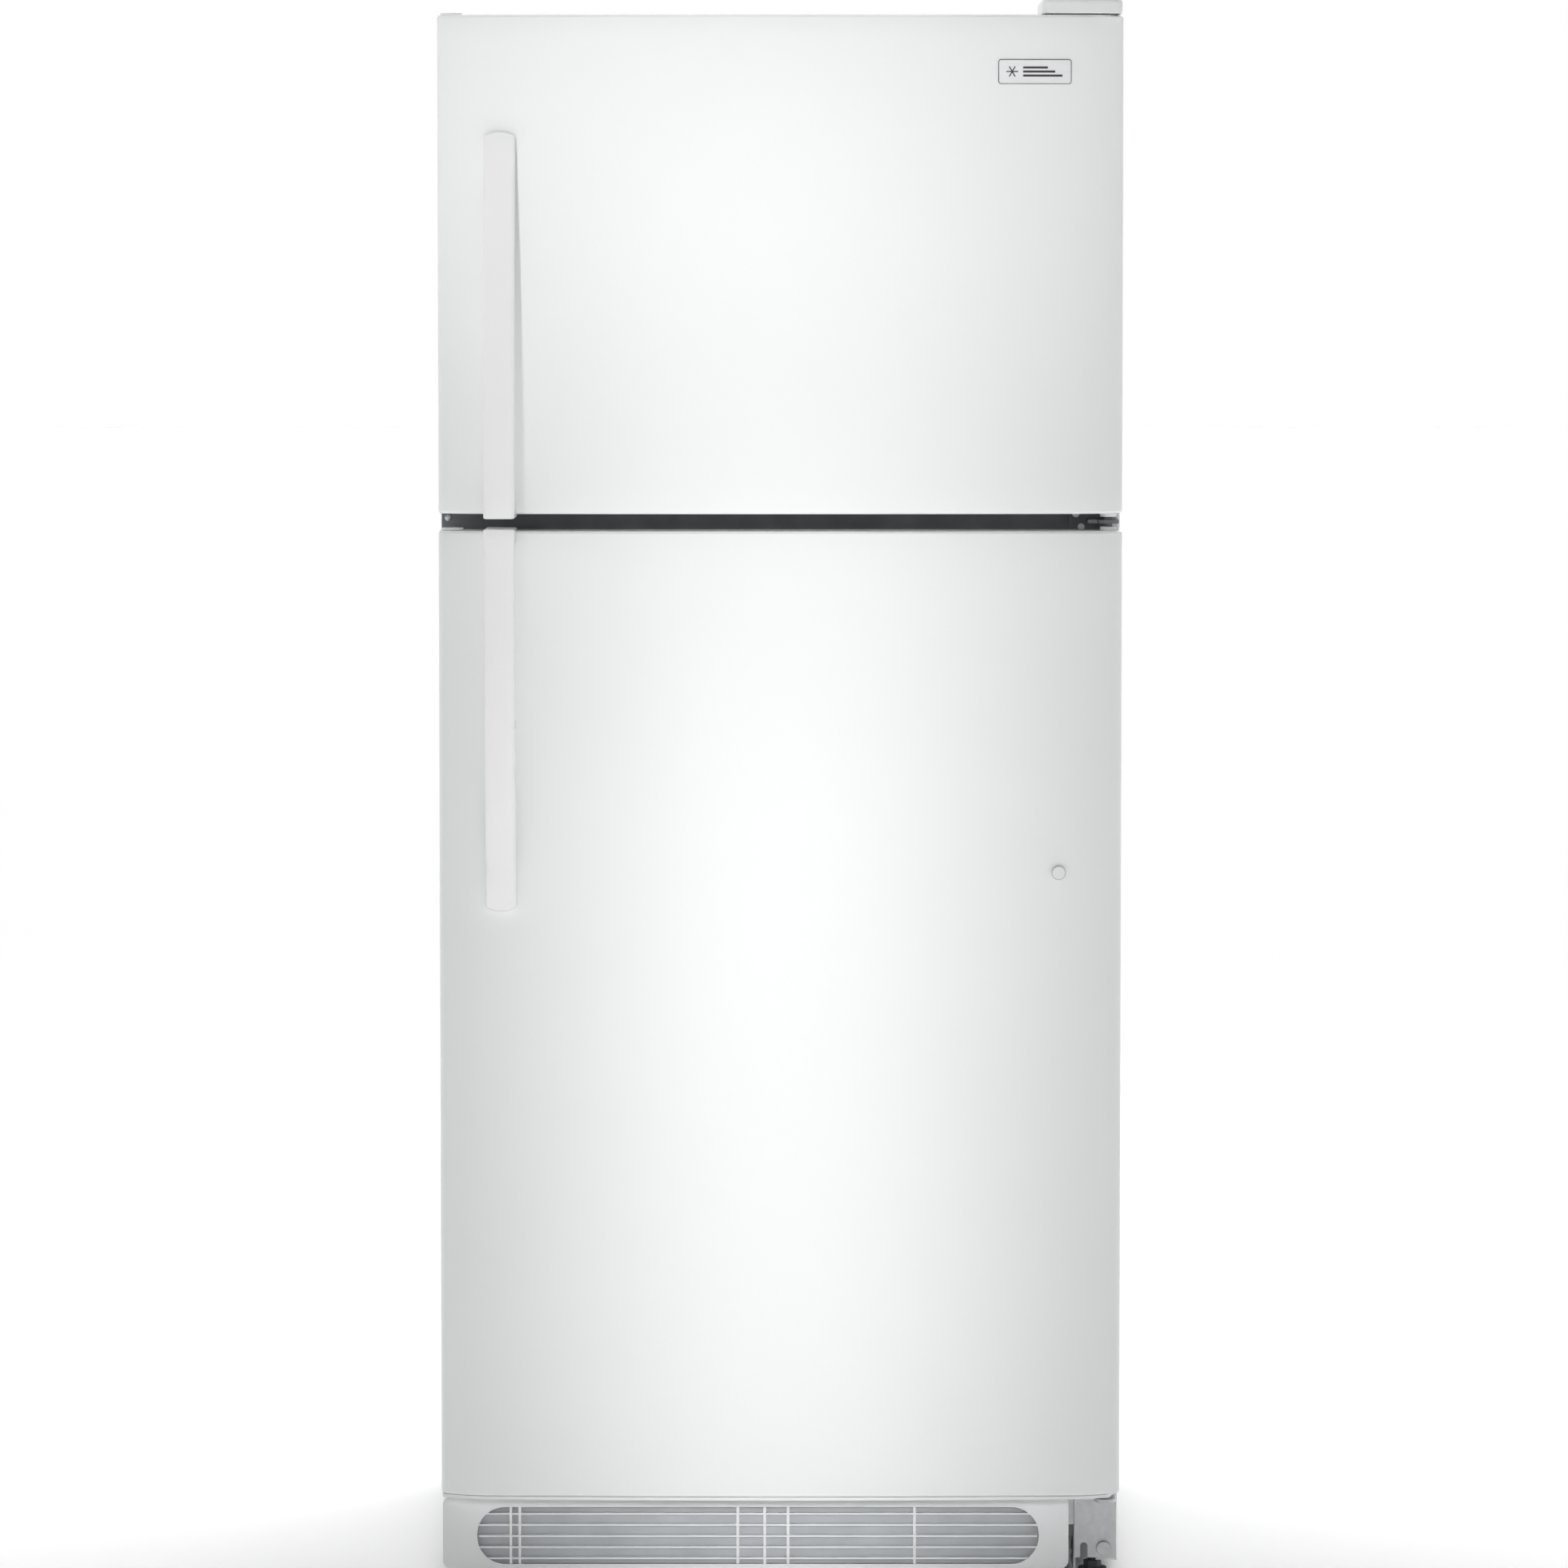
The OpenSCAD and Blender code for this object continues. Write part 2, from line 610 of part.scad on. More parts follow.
// ---- Freezer compartment ----
module evaporator_cover() {
    y = [room_back - 77, room_back - 74];
    color("white") difference() {
        slab([-room_x + 0.5, room_x - 0.5], y, [freezer_floor + 0.5, freezer_ceiling - 0.5]);
        translate([0, y[0] - 1, fan_z]) difference() {
            rod_y(56, 6);
            for (r = [16, 36]) difference() {
                rod_y(r + 2, 6);
                translate([0, -1, 0]) rod_y(r - 2, 8);
            }
            for (a = [0 : 30 : 150]) rotate([0, a, 0]) slab([-60, 60], [-1, 7], [-1.5, 1.5]);
        }
        for (i = [-9 : 9]) slab(at(i * 30, [-10, 10]), [y[0] - 1, y[1] + 1], at(freezer_floor, [16, 22]));
    }
}
module evaporator_coil() {
    x = 250;
    z0 = freezer_floor + 56;
    rows = 4;
    pitch = 40;
    color("silver") {
        for (i = [-8 : 8])
            slab(at(i * 29, [-0.6, 0.6]), [room_back - 62, room_back - 12], [z0 - 14, z0 + 134]);
        for (c = [0, 1], k = [0 : rows - 1])
            translate([-x, room_back - 50 + c * 25, z0 + k * pitch]) rod_x(4.5, 2 * x);
        // return bends, on alternate ends
        for (c = [0, 1], k = [0 : rows - 2]) translate([k % 2 == 0 ? x : -x, room_back - 50 + c * 25,
            z0 + (k + 0.5) * pitch]) rotate([90, 0, k % 2 == 0 ? 0 : 180]) rotate([0, 0, -90])
            rotate_extrude(angle = 180) translate([pitch / 2, 0]) circle(4.5, $fn = 32);
    }
}
module evaporator_fan_motor() {
    color("dimgray") translate([0, 0, fan_z]) {
        translate([0, fan_y + 16, 0]) rod_y(28, room_back - fan_y - 16.2);
        translate([0, fan_y - 2, 0]) rod_y(3, 20);
    }
}
// a hub with pitched blades round a bore on Y
module fan(r, blades, bore) {
    difference() {
        union() {
            translate([0, -7, 0]) rod_y(14, 14);
            for (i = [0 : blades - 1]) rotate([0, i * 360 / blades, 0]) translate([0, 0, 11])
                rotate([0, 0, 28]) translate([-14, -1, 0]) cube([28, 2, r - 13]);
        }
        translate([0, -10, 0]) rod_y(bore, 20);
    }
}
module evaporator_fan_blade() {
    color("black") translate([0, fan_y, fan_z]) fan(50, 4, 3.05);
}
module defrost_heater() {
    z = freezer_floor + 30;
    y = room_back - 37;
    color("black") {
        pipe([[-245, y, z + 6], [-245, y, z], [245, y, z], [245, y, z + 6]], 4);
        for (x = [-150, 150]) slab([x - 2, x + 2], [y - 6, y + 6], [freezer_floor + 0.3, z - 3]);
    }
}
module freezer_shelf() {
    y = [-148, 246];
    z = freezer_shelf_z;
    color("white") {
        for (i = [-13 : 13]) translate([i * 24, y[0] + 4, z + 3]) rod_y(2, y[1] - y[0] - 8);
        for (k = [y[0] + 4, 50, y[1] - 4]) translate([-room_x + 2, k, z + 3]) rod_x(3, 2 * room_x - 4);
    }
}

// ---- Fresh food compartment ----
module control_housing() {
    z = [fresh_ceiling - 66, fresh_ceiling - 0.3];
    color("white") difference() {
        slab([-160, 160], [housing_y, 150], z);
        slab([-157, 157], [housing_y + 3, 147], [z[0] + 3, z[1] + 1]);
        translate([knob_x, housing_y - 1, knob_z]) rod_y(4.06, 6);
        slab([66, 124], [housing_y + 20, housing_y + 110], [z[0] - 1, z[0] + 5]);
    }
    // the door switch's block on the ceiling
    front = dike_back + 20;
    color("white") difference() {
        slab(at(switch_x, [-14, 14]), [front, front + 42], [switch_z - 10, fresh_ceiling - 0.3]);
        translate([switch_x, front - 1, switch_z]) rod_y(5.06, 37);
    }
}
module temperature_knob() {
    color("white") translate([knob_x, housing_y - gap, knob_z]) {
        rotate([90, 0, 0]) cylinder(r = 19, h = 6);
        slab([-19, 19], [-16, -5], [-3.5, 3.5]);
        translate([0, -1, 0]) rod_y(4, 12);
    }
}
module interior_light() {
    z = fresh_ceiling - 46;
    color("ivory") translate([95, 0, z]) {
        translate([0, housing_y + 128, 0]) rod_y(15, 35);
        translate([0, housing_y + 90, 0]) rod_y(12, 39);
        translate([0, housing_y + 75, 0]) sphere(24);
        slab([-12, 12], [housing_y + 150, housing_y + 206.8], [-12, -4]);
    }
}
module light_switch_plunger() {
    color("white") translate([switch_x, dike_back + 0.6, switch_z]) rod_y(5, 40);
}
// plastic rim with a rebate for the glass; the lowest one covers the crispers
module shelf_frames() {
    x = room_x - 2;
    color("gainsboro") {
        for (z = shelf_z) {
            back = z < 400 ? 124 : 320;
            difference() {
                slab([-x, x], [-150, back], [z, z + 16]);
                slab([-x + 26, x - 26], [-128, back - 20], [z - 1, z + 20]);
                slab([-x + 18, x - 18], [-136, back - 12], [z + 11, z + 20]);
            }
        }
        // hangers that carry the deli drawer's flanges
        for (h = [[deli_x[0] - 9.5, 1], [deli_x[1] + 9.5, -1]]) {
            web = h[1] > 0 ? [h[0] - 3, h[0]] : [h[0], h[0] + 3];
            lip = h[1] > 0 ? [h[0] - 1, h[0] + 6] : [h[0] - 6, h[0] + 1];
            slab(web, [-120, 200], [deli_z[1] - 8, shelf_z[1] + 1]);
            slab(lip, [-120, 200], [deli_z[1] - 8, deli_z[1] - 5]);
        }
        slab([deli_x[1] + 2, deli_x[1] + 26], [-150, 310], [shelf_z[1], shelf_z[1] + 10]);
    }
}
module shelf_glass() {
    x = room_x - 20.3;
    color([0.8, 0.92, 0.9, 0.5]) for (z = shelf_z)
        slab([-x, x], [-135.7, (z < 400 ? 124 : 320) - 12.3], [z + 11.2, z + 15.4]);
}
// a drawer: an open tray with a finger lip along its front edge
module drawer(x, y, z) {
    color([0.9, 0.95, 0.98, 0.6]) {
        tray(x, y, z, 3);
        difference() {
            slab(x, [y[0] - 14, y[0] + 1], [z[1] - 14, z[1]]);
            slab([x[0] + 3, x[1] - 3], [y[0] - 11, y[0]], [z[1] - 15, z[1] - 3]);
        }
    }
}
module crisper_left() { drawer([-room_x + 4, -3], crisper_y, crisper_z); }
module crisper_right() { drawer([3, room_x - 4], crisper_y, crisper_z); }
module humidity_slide(side) {
    color("gray") translate([side * 165, -150 - gap, shelf_z[0] + 8])
        slab([-14, 14], [-6, 0], [-5, 5]);
}
module humidity_slide_left() { humidity_slide(-1); }
module humidity_slide_right() { humidity_slide(1); }
module deli_drawer() {
    drawer(deli_x, deli_y, deli_z);
    color([0.9, 0.95, 0.98, 0.6]) {
        slab([deli_x[0] - 8, deli_x[0] + 1], deli_y, [deli_z[1] - 4, deli_z[1]]);
        slab([deli_x[1] - 1, deli_x[1] + 8], deli_y, [deli_z[1] - 4, deli_z[1]]);
    }
}

// ---- Machine compartment ----
module compressor() {
    color("black") translate([-210, machine_y, 0]) {
        translate([0, 0, 44]) rotate_extrude() polygon([[0, 0], [52, 0], [70, 12], [76, 40], [76, 78],
            [82, 78], [82, 84], [76, 84], [75, 120], [66, 148], [40, 164], [0, 168]]);
        slab([-92, 92], [-62, 62], [43, 48]);
        slab([68, 106], [-26, 26], [96, 146]);
    }
}
module compressor_mounts() {
    color("dimgray") translate([-210, machine_y, pan_z + pan_t])
        for (x = [-76, 76], y = [-48, 48]) translate([x, y, 0]) cylinder(r = 13, h = 43 - pan_z - pan_t);
}
module condenser_coil() {
    x = [110, 340];
    pitch = 30;
    r = 3;
    color("black") {
        for (y = [232, 290, 348]) {
            for (k = [0 : 5]) translate([x[0], y, 88 + k * pitch]) rod_x(r, x[1] - x[0]);
            for (k = [0 : 4]) translate([k % 2 == 0 ? x[1] : x[0], y, 88 + (k + 0.5) * pitch])
                rotate([90, 0, k % 2 == 0 ? 0 : 180]) rotate([0, 0, -90])
                rotate_extrude(angle = 180) translate([pitch / 2, 0]) circle(r, $fn = 32);
        }
        for (i = [0 : 5]) slab([x[0] + 12 + i * 41, x[0] + 13.2 + i * 41], [215, 365], [66, 262]);
    }
}
module condenser_fan_motor() {
    color("gray") translate([condenser_fan_x, machine_y, condenser_fan_z]) {
        translate([-50, 0, 0]) rod_x(26, 36);
        translate([-16, 0, 0]) rod_x(3, 20);
        difference() {
            slab([-44, -40], [-90, 90], [-121.5, 80]);
            translate([-50, 0, 0]) rod_x(25, 20);
        }
    }
}
module condenser_fan_blade() {
    color("black") translate([condenser_fan_x, machine_y, condenser_fan_z]) rotate([0, 0, 90])
        fan(68, 5, 3.05);
}
module drain_pan() {
    color("black") tray([92, 294], [200, 376], [pan_z + pan_t + 0.2, 60], 3);
}
// discharge, liquid and suction lines, with the filter drier in the liquid line
module refrigerant_lines() {
    color("peru") {
        pipe([[-180, 325, 209], [-180, 372, 209], [-180, 372, 262], [140, 372, 262], [140, 348, 262],
            [140, 348, 241.5]], 3);
        pipe([[140, 232, 84.5], [140, 232, 74], [140, 206, 74], [66, 206, 74], [66, 206, 101]], 3);
        pipe([[66, 206, 189], [66, 206, 284]], 2);
        pipe([[-168, 248, 203], [-168, 206, 203], [-168, 206, 284]], 4);
        translate([66, 206, 100]) cylinder(r = 9, h = 90);
    }
}
module power_inlet() {
    x = [half_w - 90, half_w - 40];
    z = [50, 82];
    color("black") {
        difference() {
            slab(x, [cab_back - 24, back_y], z);
            slab([x[0] + 12, x[1] - 12], [back_y - 17, back_y + 1], [z[0] + 8, z[1] - 8]);
        }
        for (dx = [-7, 0, 7]) slab(at((x[0] + x[1]) / 2 + dx, [-1, 1]), [back_y - 18, back_y - 3],
            at((z[0] + z[1]) / 2 + (dx == 0 ? 3 : -1), [-2, 2]));
    }
}

cabinet_wrapper();
rear_panel();
rear_cover();
base_frame();
cabinet_insulation();
freezer_liner();
fresh_food_liner();
mullion_rail();
evaporator_cover();
evaporator_coil();
evaporator_fan_motor();
evaporator_fan_blade();
defrost_heater();
freezer_shelf();
control_housing();
temperature_knob();
interior_light();
light_switch_plunger();
shelf_frames();
shelf_glass();
crisper_left();
crisper_right();
humidity_slide_left();
humidity_slide_right();
deli_drawer();
compressor();
compressor_mounts();
condenser_coil();
condenser_fan_motor();
condenser_fan_blade();
drain_pan();
refrigerant_lines();
power_inlet();
toe_grille();
top_hinge();
hinge_cover();
centre_hinge();
lower_hinge();
cabinet_screws();
front_roller_left();
front_roller_right();
rear_rollers();
levelling_leg_left();
levelling_leg_right();
freezer_door_panel();
freezer_door_foam();
freezer_door_liner();
freezer_door_gasket();
freezer_door_caps();
freezer_door_bins();
freezer_door_handle();
badge_plate();
fridge_door_panel();
fridge_door_foam();
fridge_door_liner();
fridge_door_gasket();
fridge_door_caps();
fridge_door_bins();
fridge_door_handle();
dairy_lid();
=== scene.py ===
import bpy
import bmesh
import json
import math
import numpy as np
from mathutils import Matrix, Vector


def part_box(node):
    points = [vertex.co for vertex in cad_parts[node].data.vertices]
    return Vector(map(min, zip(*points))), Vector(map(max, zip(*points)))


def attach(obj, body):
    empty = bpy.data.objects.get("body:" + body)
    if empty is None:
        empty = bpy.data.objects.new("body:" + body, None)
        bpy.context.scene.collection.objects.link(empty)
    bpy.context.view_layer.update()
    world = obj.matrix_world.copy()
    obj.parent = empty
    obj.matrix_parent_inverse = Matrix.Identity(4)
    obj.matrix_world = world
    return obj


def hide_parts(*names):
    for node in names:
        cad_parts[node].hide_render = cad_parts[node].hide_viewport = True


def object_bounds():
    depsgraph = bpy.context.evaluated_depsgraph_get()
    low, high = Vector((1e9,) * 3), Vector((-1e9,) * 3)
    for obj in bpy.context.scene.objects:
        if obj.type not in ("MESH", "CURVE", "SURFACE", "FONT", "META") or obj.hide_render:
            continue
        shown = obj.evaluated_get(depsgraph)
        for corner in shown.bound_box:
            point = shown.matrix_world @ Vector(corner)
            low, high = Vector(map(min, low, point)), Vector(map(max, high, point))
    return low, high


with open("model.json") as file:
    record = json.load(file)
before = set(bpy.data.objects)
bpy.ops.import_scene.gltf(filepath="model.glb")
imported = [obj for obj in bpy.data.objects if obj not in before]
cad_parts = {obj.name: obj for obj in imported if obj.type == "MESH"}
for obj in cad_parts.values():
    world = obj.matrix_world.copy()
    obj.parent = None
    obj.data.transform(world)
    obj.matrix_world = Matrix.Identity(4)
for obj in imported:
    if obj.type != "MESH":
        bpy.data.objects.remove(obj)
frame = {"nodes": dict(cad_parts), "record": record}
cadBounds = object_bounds()
nodes = frame["nodes"]
bodyOf = {n: b for b, group in frame["record"]["behaviour"]["bodies"].items() for n in group}
slotOf = {part["node"]: part["material_slot"] for part in frame["record"]["subparts"]}
baseColour = {m["slot"]: m["base_color"] for m in frame["record"]["materials"]}
mm = 0.001


# studio
studio = {"distance": 7.5, "height": 1.45, "sideways": 0.004, "frameMiddle": 0.8985,
          "frameHeight": 1.72, "shift": -0.05, "crownDepth": 0.045, "floor": 60, "floorTone": 0.97,
          # brightness of the room by direction: an axis, whether its two ends count alike, the stretch
          # over which the brightness changes, and the two levels; the last row is a rim on the horizon
          "room": (("Y", False, (-0.15, 0.3), (0.02, 1.0)),
                   ("X", True, (0.35, 0.95), (1.0, 0.2)),
                   ("Z", False, (0.3, 0.8), (1.0, 3.3)),
                   ("Z", True, (0.11, 0.22), (0.68, 0.0))),
          # each lamp's place, the point it faces, its size, its power and how wide its beam opens
          "lamps": {"upper": ((-1.2, -6.0, 2.4), (-0.06, -0.36, 1.62), (0.8, 0.5), 0.72, 9),
                    "streak": ((0.0, -6.4, 1.9), (0.0, -0.36, 0.25), (0.25, 2.0), 1.9, 9),
                    "rear": ((1.5, 6.0, 3.5), (0, 0, 0.9), (4.0, 3.0), 20, 120)}}


# Camera, floor, world and soft lights. The lens follows from the height that the frame covers.
def buildStudio(s):
    crown = cadBounds[0][1] + s["crownDepth"]
    place = Vector((s["sideways"], crown - s["distance"], s["height"]))
    aim = Vector((s["sideways"], crown, s["frameMiddle"] - s["shift"] * s["frameHeight"]))
    data = bpy.data.cameras.new("studioCamera")
    data.sensor_width = 36
    data.lens = 36 * (aim - place).length / s["frameHeight"]
    data.shift_y = s["shift"]
    data.clip_end = 200
    camera = bpy.data.objects.new("studioCamera", data)
    camera.location = place
    camera.rotation_euler = (aim - place).to_track_quat("-Z", "Y").to_euler()
    bpy.context.scene.collection.objects.link(camera)
    bpy.context.scene.camera = camera

    floorMesh = bpy.data.meshes.new("studioFloor")
    far = s["floor"]
    corners = [(-far, -far, 0), (far, -far, 0), (far, far, 0), (-far, far, 0)]
    floorMesh.from_pydata(corners, [], [(0, 1, 2, 3)])
    floor = bpy.data.objects.new("studioFloor", floorMesh)
    bpy.context.scene.collection.objects.link(floor)
    paint = bpy.data.materials.new("paleFloor")
    paint.use_nodes = True
    shader = paint.node_tree.nodes["Principled BSDF"]
    shader.inputs["Base Color"].default_value = (*[s["floorTone"]] * 3, 1)
    shader.inputs["Roughness"].default_value = 0.85
    floorMesh.materials.append(paint)

    # the room is white beyond the object and above it, and dimmer in front and to both sides
    world = bpy.data.worlds.new("studioWorld")
    bpy.context.scene.world = world
    world.use_nodes = True
    tree = world.node_tree
    direction = tree.nodes.new("ShaderNodeTexCoord")
    split = tree.nodes.new("ShaderNodeSeparateXYZ")
    tree.links.new(direction.outputs["Generated"], split.inputs[0])
    levels = []
    for axis, fold, ends, tones in s["room"]:
        source = split.outputs[axis]
        if fold:
            side = tree.nodes.new("ShaderNodeMath")
            side.operation = "ABSOLUTE"
            tree.links.new(source, side.inputs[0])
            source = side.outputs[0]
        level = tree.nodes.new("ShaderNodeMapRange")
        level.inputs["From Min"].default_value, level.inputs["From Max"].default_value = ends
        level.inputs["To Min"].default_value, level.inputs["To Max"].default_value = tones
        tree.links.new(source, level.inputs[0])
        levels.append(level.outputs[0])
    for k, work in ((1, "MULTIPLY"), (2, "MULTIPLY"), (3, "MAXIMUM")):
        both = tree.nodes.new("ShaderNodeMath")
        both.operation = work
        tree.links.new(levels[0], both.inputs[0])
        tree.links.new(levels[k], both.inputs[1])
        levels[0] = both.outputs[0]
    tree.links.new(levels[0], tree.nodes["Background"].inputs["Strength"])
    tree.nodes["Background"].inputs["Color"].default_value = (1, 1, 1, 1)
    bpy.context.scene.view_settings.view_transform = "Standard"

    for name, (spot, faces, size, power, spread) in s["lamps"].items():
        lamp = bpy.data.lights.new(name + "Lamp", "AREA")
        lamp.shape = "RECTANGLE"
        lamp.size, lamp.size_y = size
        lamp.energy = power
        lamp.spread = math.radians(spread)
        obj = bpy.data.objects.new(name + "Lamp", lamp)
        obj.location = spot
        obj.rotation_euler = (Vector(faces) - Vector(spot)).to_track_quat("-Z", "Y").to_euler()
        obj.visible_glossy = name == "rear"
        bpy.context.scene.collection.objects.link(obj)


# finishes
# A shader with a slight cloudy change of colour, an uneven roughness and a fine surface grain. grain is
# (how fine, how deep in tenths of a millimetre), mottle is (how fine, how strong).
def finish(name, colour, roughness=0.4, metallic=0.0, coat=0.0, grain=(600, 0.05), mottle=(6, 0.03),
           roughSpread=0.06, clear=0.0, ior=1.46, stretch=(1, 1, 1), sheen=0.0, cells=False):
    made = bpy.data.materials.new(name)
    made.use_nodes = True
    tree = made.node_tree
    shader = tree.nodes["Principled BSDF"]
    shader.inputs["Metallic"].default_value = metallic
    shader.inputs["IOR"].default_value = ior
    shader.inputs["Coat Weight"].default_value = coat
    shader.inputs["Coat Roughness"].default_value = 0.08
    shader.inputs["Transmission Weight"].default_value = clear
    shader.inputs["Sheen Weight"].default_value = sheen
    place = tree.nodes.new("ShaderNodeTexCoord")
    turn = tree.nodes.new("ShaderNodeMapping")
    turn.inputs["Scale"].default_value = stretch
    tree.links.new(place.outputs["Object"], turn.inputs["Vector"])

    cloud = tree.nodes.new("ShaderNodeTexVoronoi" if cells else "ShaderNodeTexNoise")
    cloud.inputs["Scale"].default_value = mottle[0]
    tree.links.new(turn.outputs[0], cloud.inputs["Vector"])
    tint = tree.nodes.new("ShaderNodeValToRGB")
    low = [max(0, c * (1 - mottle[1])) for c in colour]
    high = [min(1, c * (1 + mottle[1])) for c in colour]
    tint.color_ramp.elements[0].position = 0.3
    tint.color_ramp.elements[1].position = 0.7
    tint.color_ramp.elements[0].color = (*low, 1)
    tint.color_ramp.elements[1].color = (*high, 1)
    tree.links.new(cloud.outputs["Color" if cells else 0], tint.inputs[0])
    tree.links.new(tint.outputs[0], shader.inputs["Base Color"])

    smear = tree.nodes.new("ShaderNodeTexNoise")
    smear.inputs["Scale"].default_value = mottle[0] * 2.7
    smear.inputs["Detail"].default_value = 4
    spread = tree.nodes.new("ShaderNodeMapRange")
    spread.inputs["To Min"].default_value = max(0.02, roughness - roughSpread)
    spread.inputs["To Max"].default_value = min(1, roughness + roughSpread)
    tree.links.new(turn.outputs[0], smear.inputs["Vector"])
    tree.links.new(smear.outputs[0], spread.inputs[0])
    tree.links.new(spread.outputs[0], shader.inputs["Roughness"])

    fine = tree.nodes.new("ShaderNodeTexNoise")
    fine.inputs["Scale"].default_value = grain[0]
    fine.inputs["Detail"].default_value = 2
    bump = tree.nodes.new("ShaderNodeBump")
    bump.inputs["Strength"].default_value = grain[1]
    bump.inputs["Distance"].default_value = 0.1 * mm
    tree.links.new(turn.outputs[0], fine.inputs["Vector"])
    tree.links.new(fine.outputs[0], bump.inputs["Height"])
    tree.links.new(bump.outputs[0], shader.inputs["Normal"])
    return made


# One finish for each slot of the record.
def buildFinishes():
    recipe = {
        "white_enamel": dict(roughness=0.34, coat=0.25, grain=(420, 0.2), mottle=(3, 0.006),
                             roughSpread=0.03),
        "galvanised_steel": dict(roughness=0.42, metallic=0.85, mottle=(160, 0.035), cells=True,
                                 grain=(260, 0.3)),
        "dark_fibreboard": dict(roughness=0.85, grain=(380, 0.9), mottle=(120, 0.2)),
        "insulation_foam": dict(roughness=0.9, grain=(300, 1.0), mottle=(90, 0.08)),
        "liner_plastic": dict(roughness=0.3, grain=(900, 0.12), mottle=(4, 0.006), roughSpread=0.02),
        # the record's near-black colour for this slot is partly the mullion rail's own dark paint and partly
        # painted shade for the gap between the doors
        "dark_steel": dict(roughness=0.5, metallic=0.3, grain=(500, 0.35), mottle=(30, 0.12)),
        "bare_aluminium": dict(roughness=0.35, metallic=0.95, grain=(700, 0.3), mottle=(40, 0.06),
                               stretch=(1, 1, 6)),
        "black_plastic": dict(roughness=0.5, grain=(1400, 0.4), mottle=(20, 0.15)),
        "white_wire": dict(roughness=0.32, coat=0.3, grain=(500, 0.2), mottle=(12, 0.015)),
        "white_plastic": dict(roughness=0.36, grain=(1500, 0.3), mottle=(5, 0.012)),
        "lamp_glass": dict(roughness=0.35, clear=0.55, grain=(900, 0.3), mottle=(20, 0.02)),
        "shelf_rim_plastic": dict(roughness=0.3, grain=(1200, 0.25), mottle=(8, 0.02)),
        "shelf_glass": dict(roughness=0.04, clear=0.88, grain=(300, 0.02), mottle=(4, 0.01),
                            roughSpread=0.01, ior=1.52),
        "clear_plastic": dict(roughness=0.14, clear=0.42, grain=(500, 0.06), mottle=(6, 0.012),
                              roughSpread=0.04, ior=1.49),
        "grey_plastic": dict(roughness=0.48, grain=(1300, 0.35), mottle=(25, 0.06)),
        "black_enamel": dict(roughness=0.38, coat=0.25, grain=(350, 0.5), mottle=(25, 0.15)),
        "mount_rubber": dict(roughness=0.8, grain=(700, 0.6), mottle=(50, 0.15)),
        "copper_tube": dict(roughness=0.3, metallic=1.0, grain=(500, 0.25), mottle=(45, 0.15)),
        "grille_plastic": dict(roughness=0.42, grain=(1400, 0.35), mottle=(6, 0.015)),
        "gasket_rubber": dict(roughness=0.6, grain=(1000, 0.3), mottle=(25, 0.03)),
        "handle_plastic": dict(roughness=0.3, grain=(1300, 0.18), mottle=(8, 0.01), coat=0.2),
        "badge_metal": dict(roughness=0.3, metallic=0.15, grain=(900, 0.25), mottle=(60, 0.03),
                            stretch=(1, 1, 14)),
    }
    return {slot: finish(slot + "Finish", baseColour[slot], **recipe[slot]) for slot in baseColour}


# surfaces
# A rectangle with round corners, counter-clockwise, as an array of (along x, along a).
def roundedRing(x, a, radius, corner=7):
    radius = max(1e-5, min(radius, (x[1] - x[0]) / 2 - 1e-6, (a[1] - a[0]) / 2 - 1e-6))
    turn = np.linspace(0, math.pi / 2, corner)
    middles = [(x[1] - radius, a[1] - radius, 0), (x[0] + radius, a[1] - radius, 1),
               (x[0] + radius, a[0] + radius, 2), (x[1] - radius, a[0] + radius, 3)]
    parts = [np.column_stack((mx + radius * np.cos(turn + k * math.pi / 2),
                              my + radius * np.sin(turn + k * math.pi / 2))) for mx, my, k in middles]
    return np.vstack(parts)


# rows are (x limits, other limits, corner radius, level). plane names the ring's own plane: 'xz' rings
# are stacked along y and 'xy' rings along z.
def stackRings(rows, plane, corner=7):
    rings = []
    for x, a, radius, level in rows:
        flat = roundedRing(x, a, radius, corner)
        depth = np.full(len(flat), level)
        rings.append(np.column_stack((flat[:, 0], depth, flat[:, 1]) if plane == "xz"
                                     else (flat[:, 0], flat[:, 1], depth)))
    return np.array(rings)


# Quads between neighbouring rings of equal length. A closed end is a fan to the ring's middle; loop joins
# the last ring to the first.
def loft(rings, ends=(True, True), loop=False):
    count, around = rings.shape[:2]
    points = rings.reshape(-1, 3)
    i = np.arange(count if loop else count - 1)[:, None] * around
    j = np.arange(around)[None, :]
    k = (j + 1) % around
    up = (i + around) % (count * around)
    quads = np.stack((i + j, i + k, up + k, up + j), axis=-1).reshape(-1, 4).tolist()
    extra = []
    for end, ring in ((ends[0], 0), (ends[1], count - 1)):
        if end and not loop:
            middle = len(points) + len(extra)
            extra.append(rings[ring].mean(axis=0))
            steps = np.arange(around)
            fan = np.column_stack((ring * around + steps, ring * around + (steps + 1) % around,
                                   np.full(around, middle)))
            quads += fan.tolist()
    if extra:
        points = np.vstack((points, extra))
    return points, quads


# Quads of an open grid of points.
def openSheet(grid):
    rows, cols = grid.shape[:2]
    i = np.arange(rows - 1)[:, None] * cols
    j = np.arange(cols - 1)[None]
    quads = np.stack((i + j, i + j + 1, i + cols + j + 1, i + cols + j), -1).reshape(-1, 4).tolist()
    return grid.reshape(-1, 3), quads


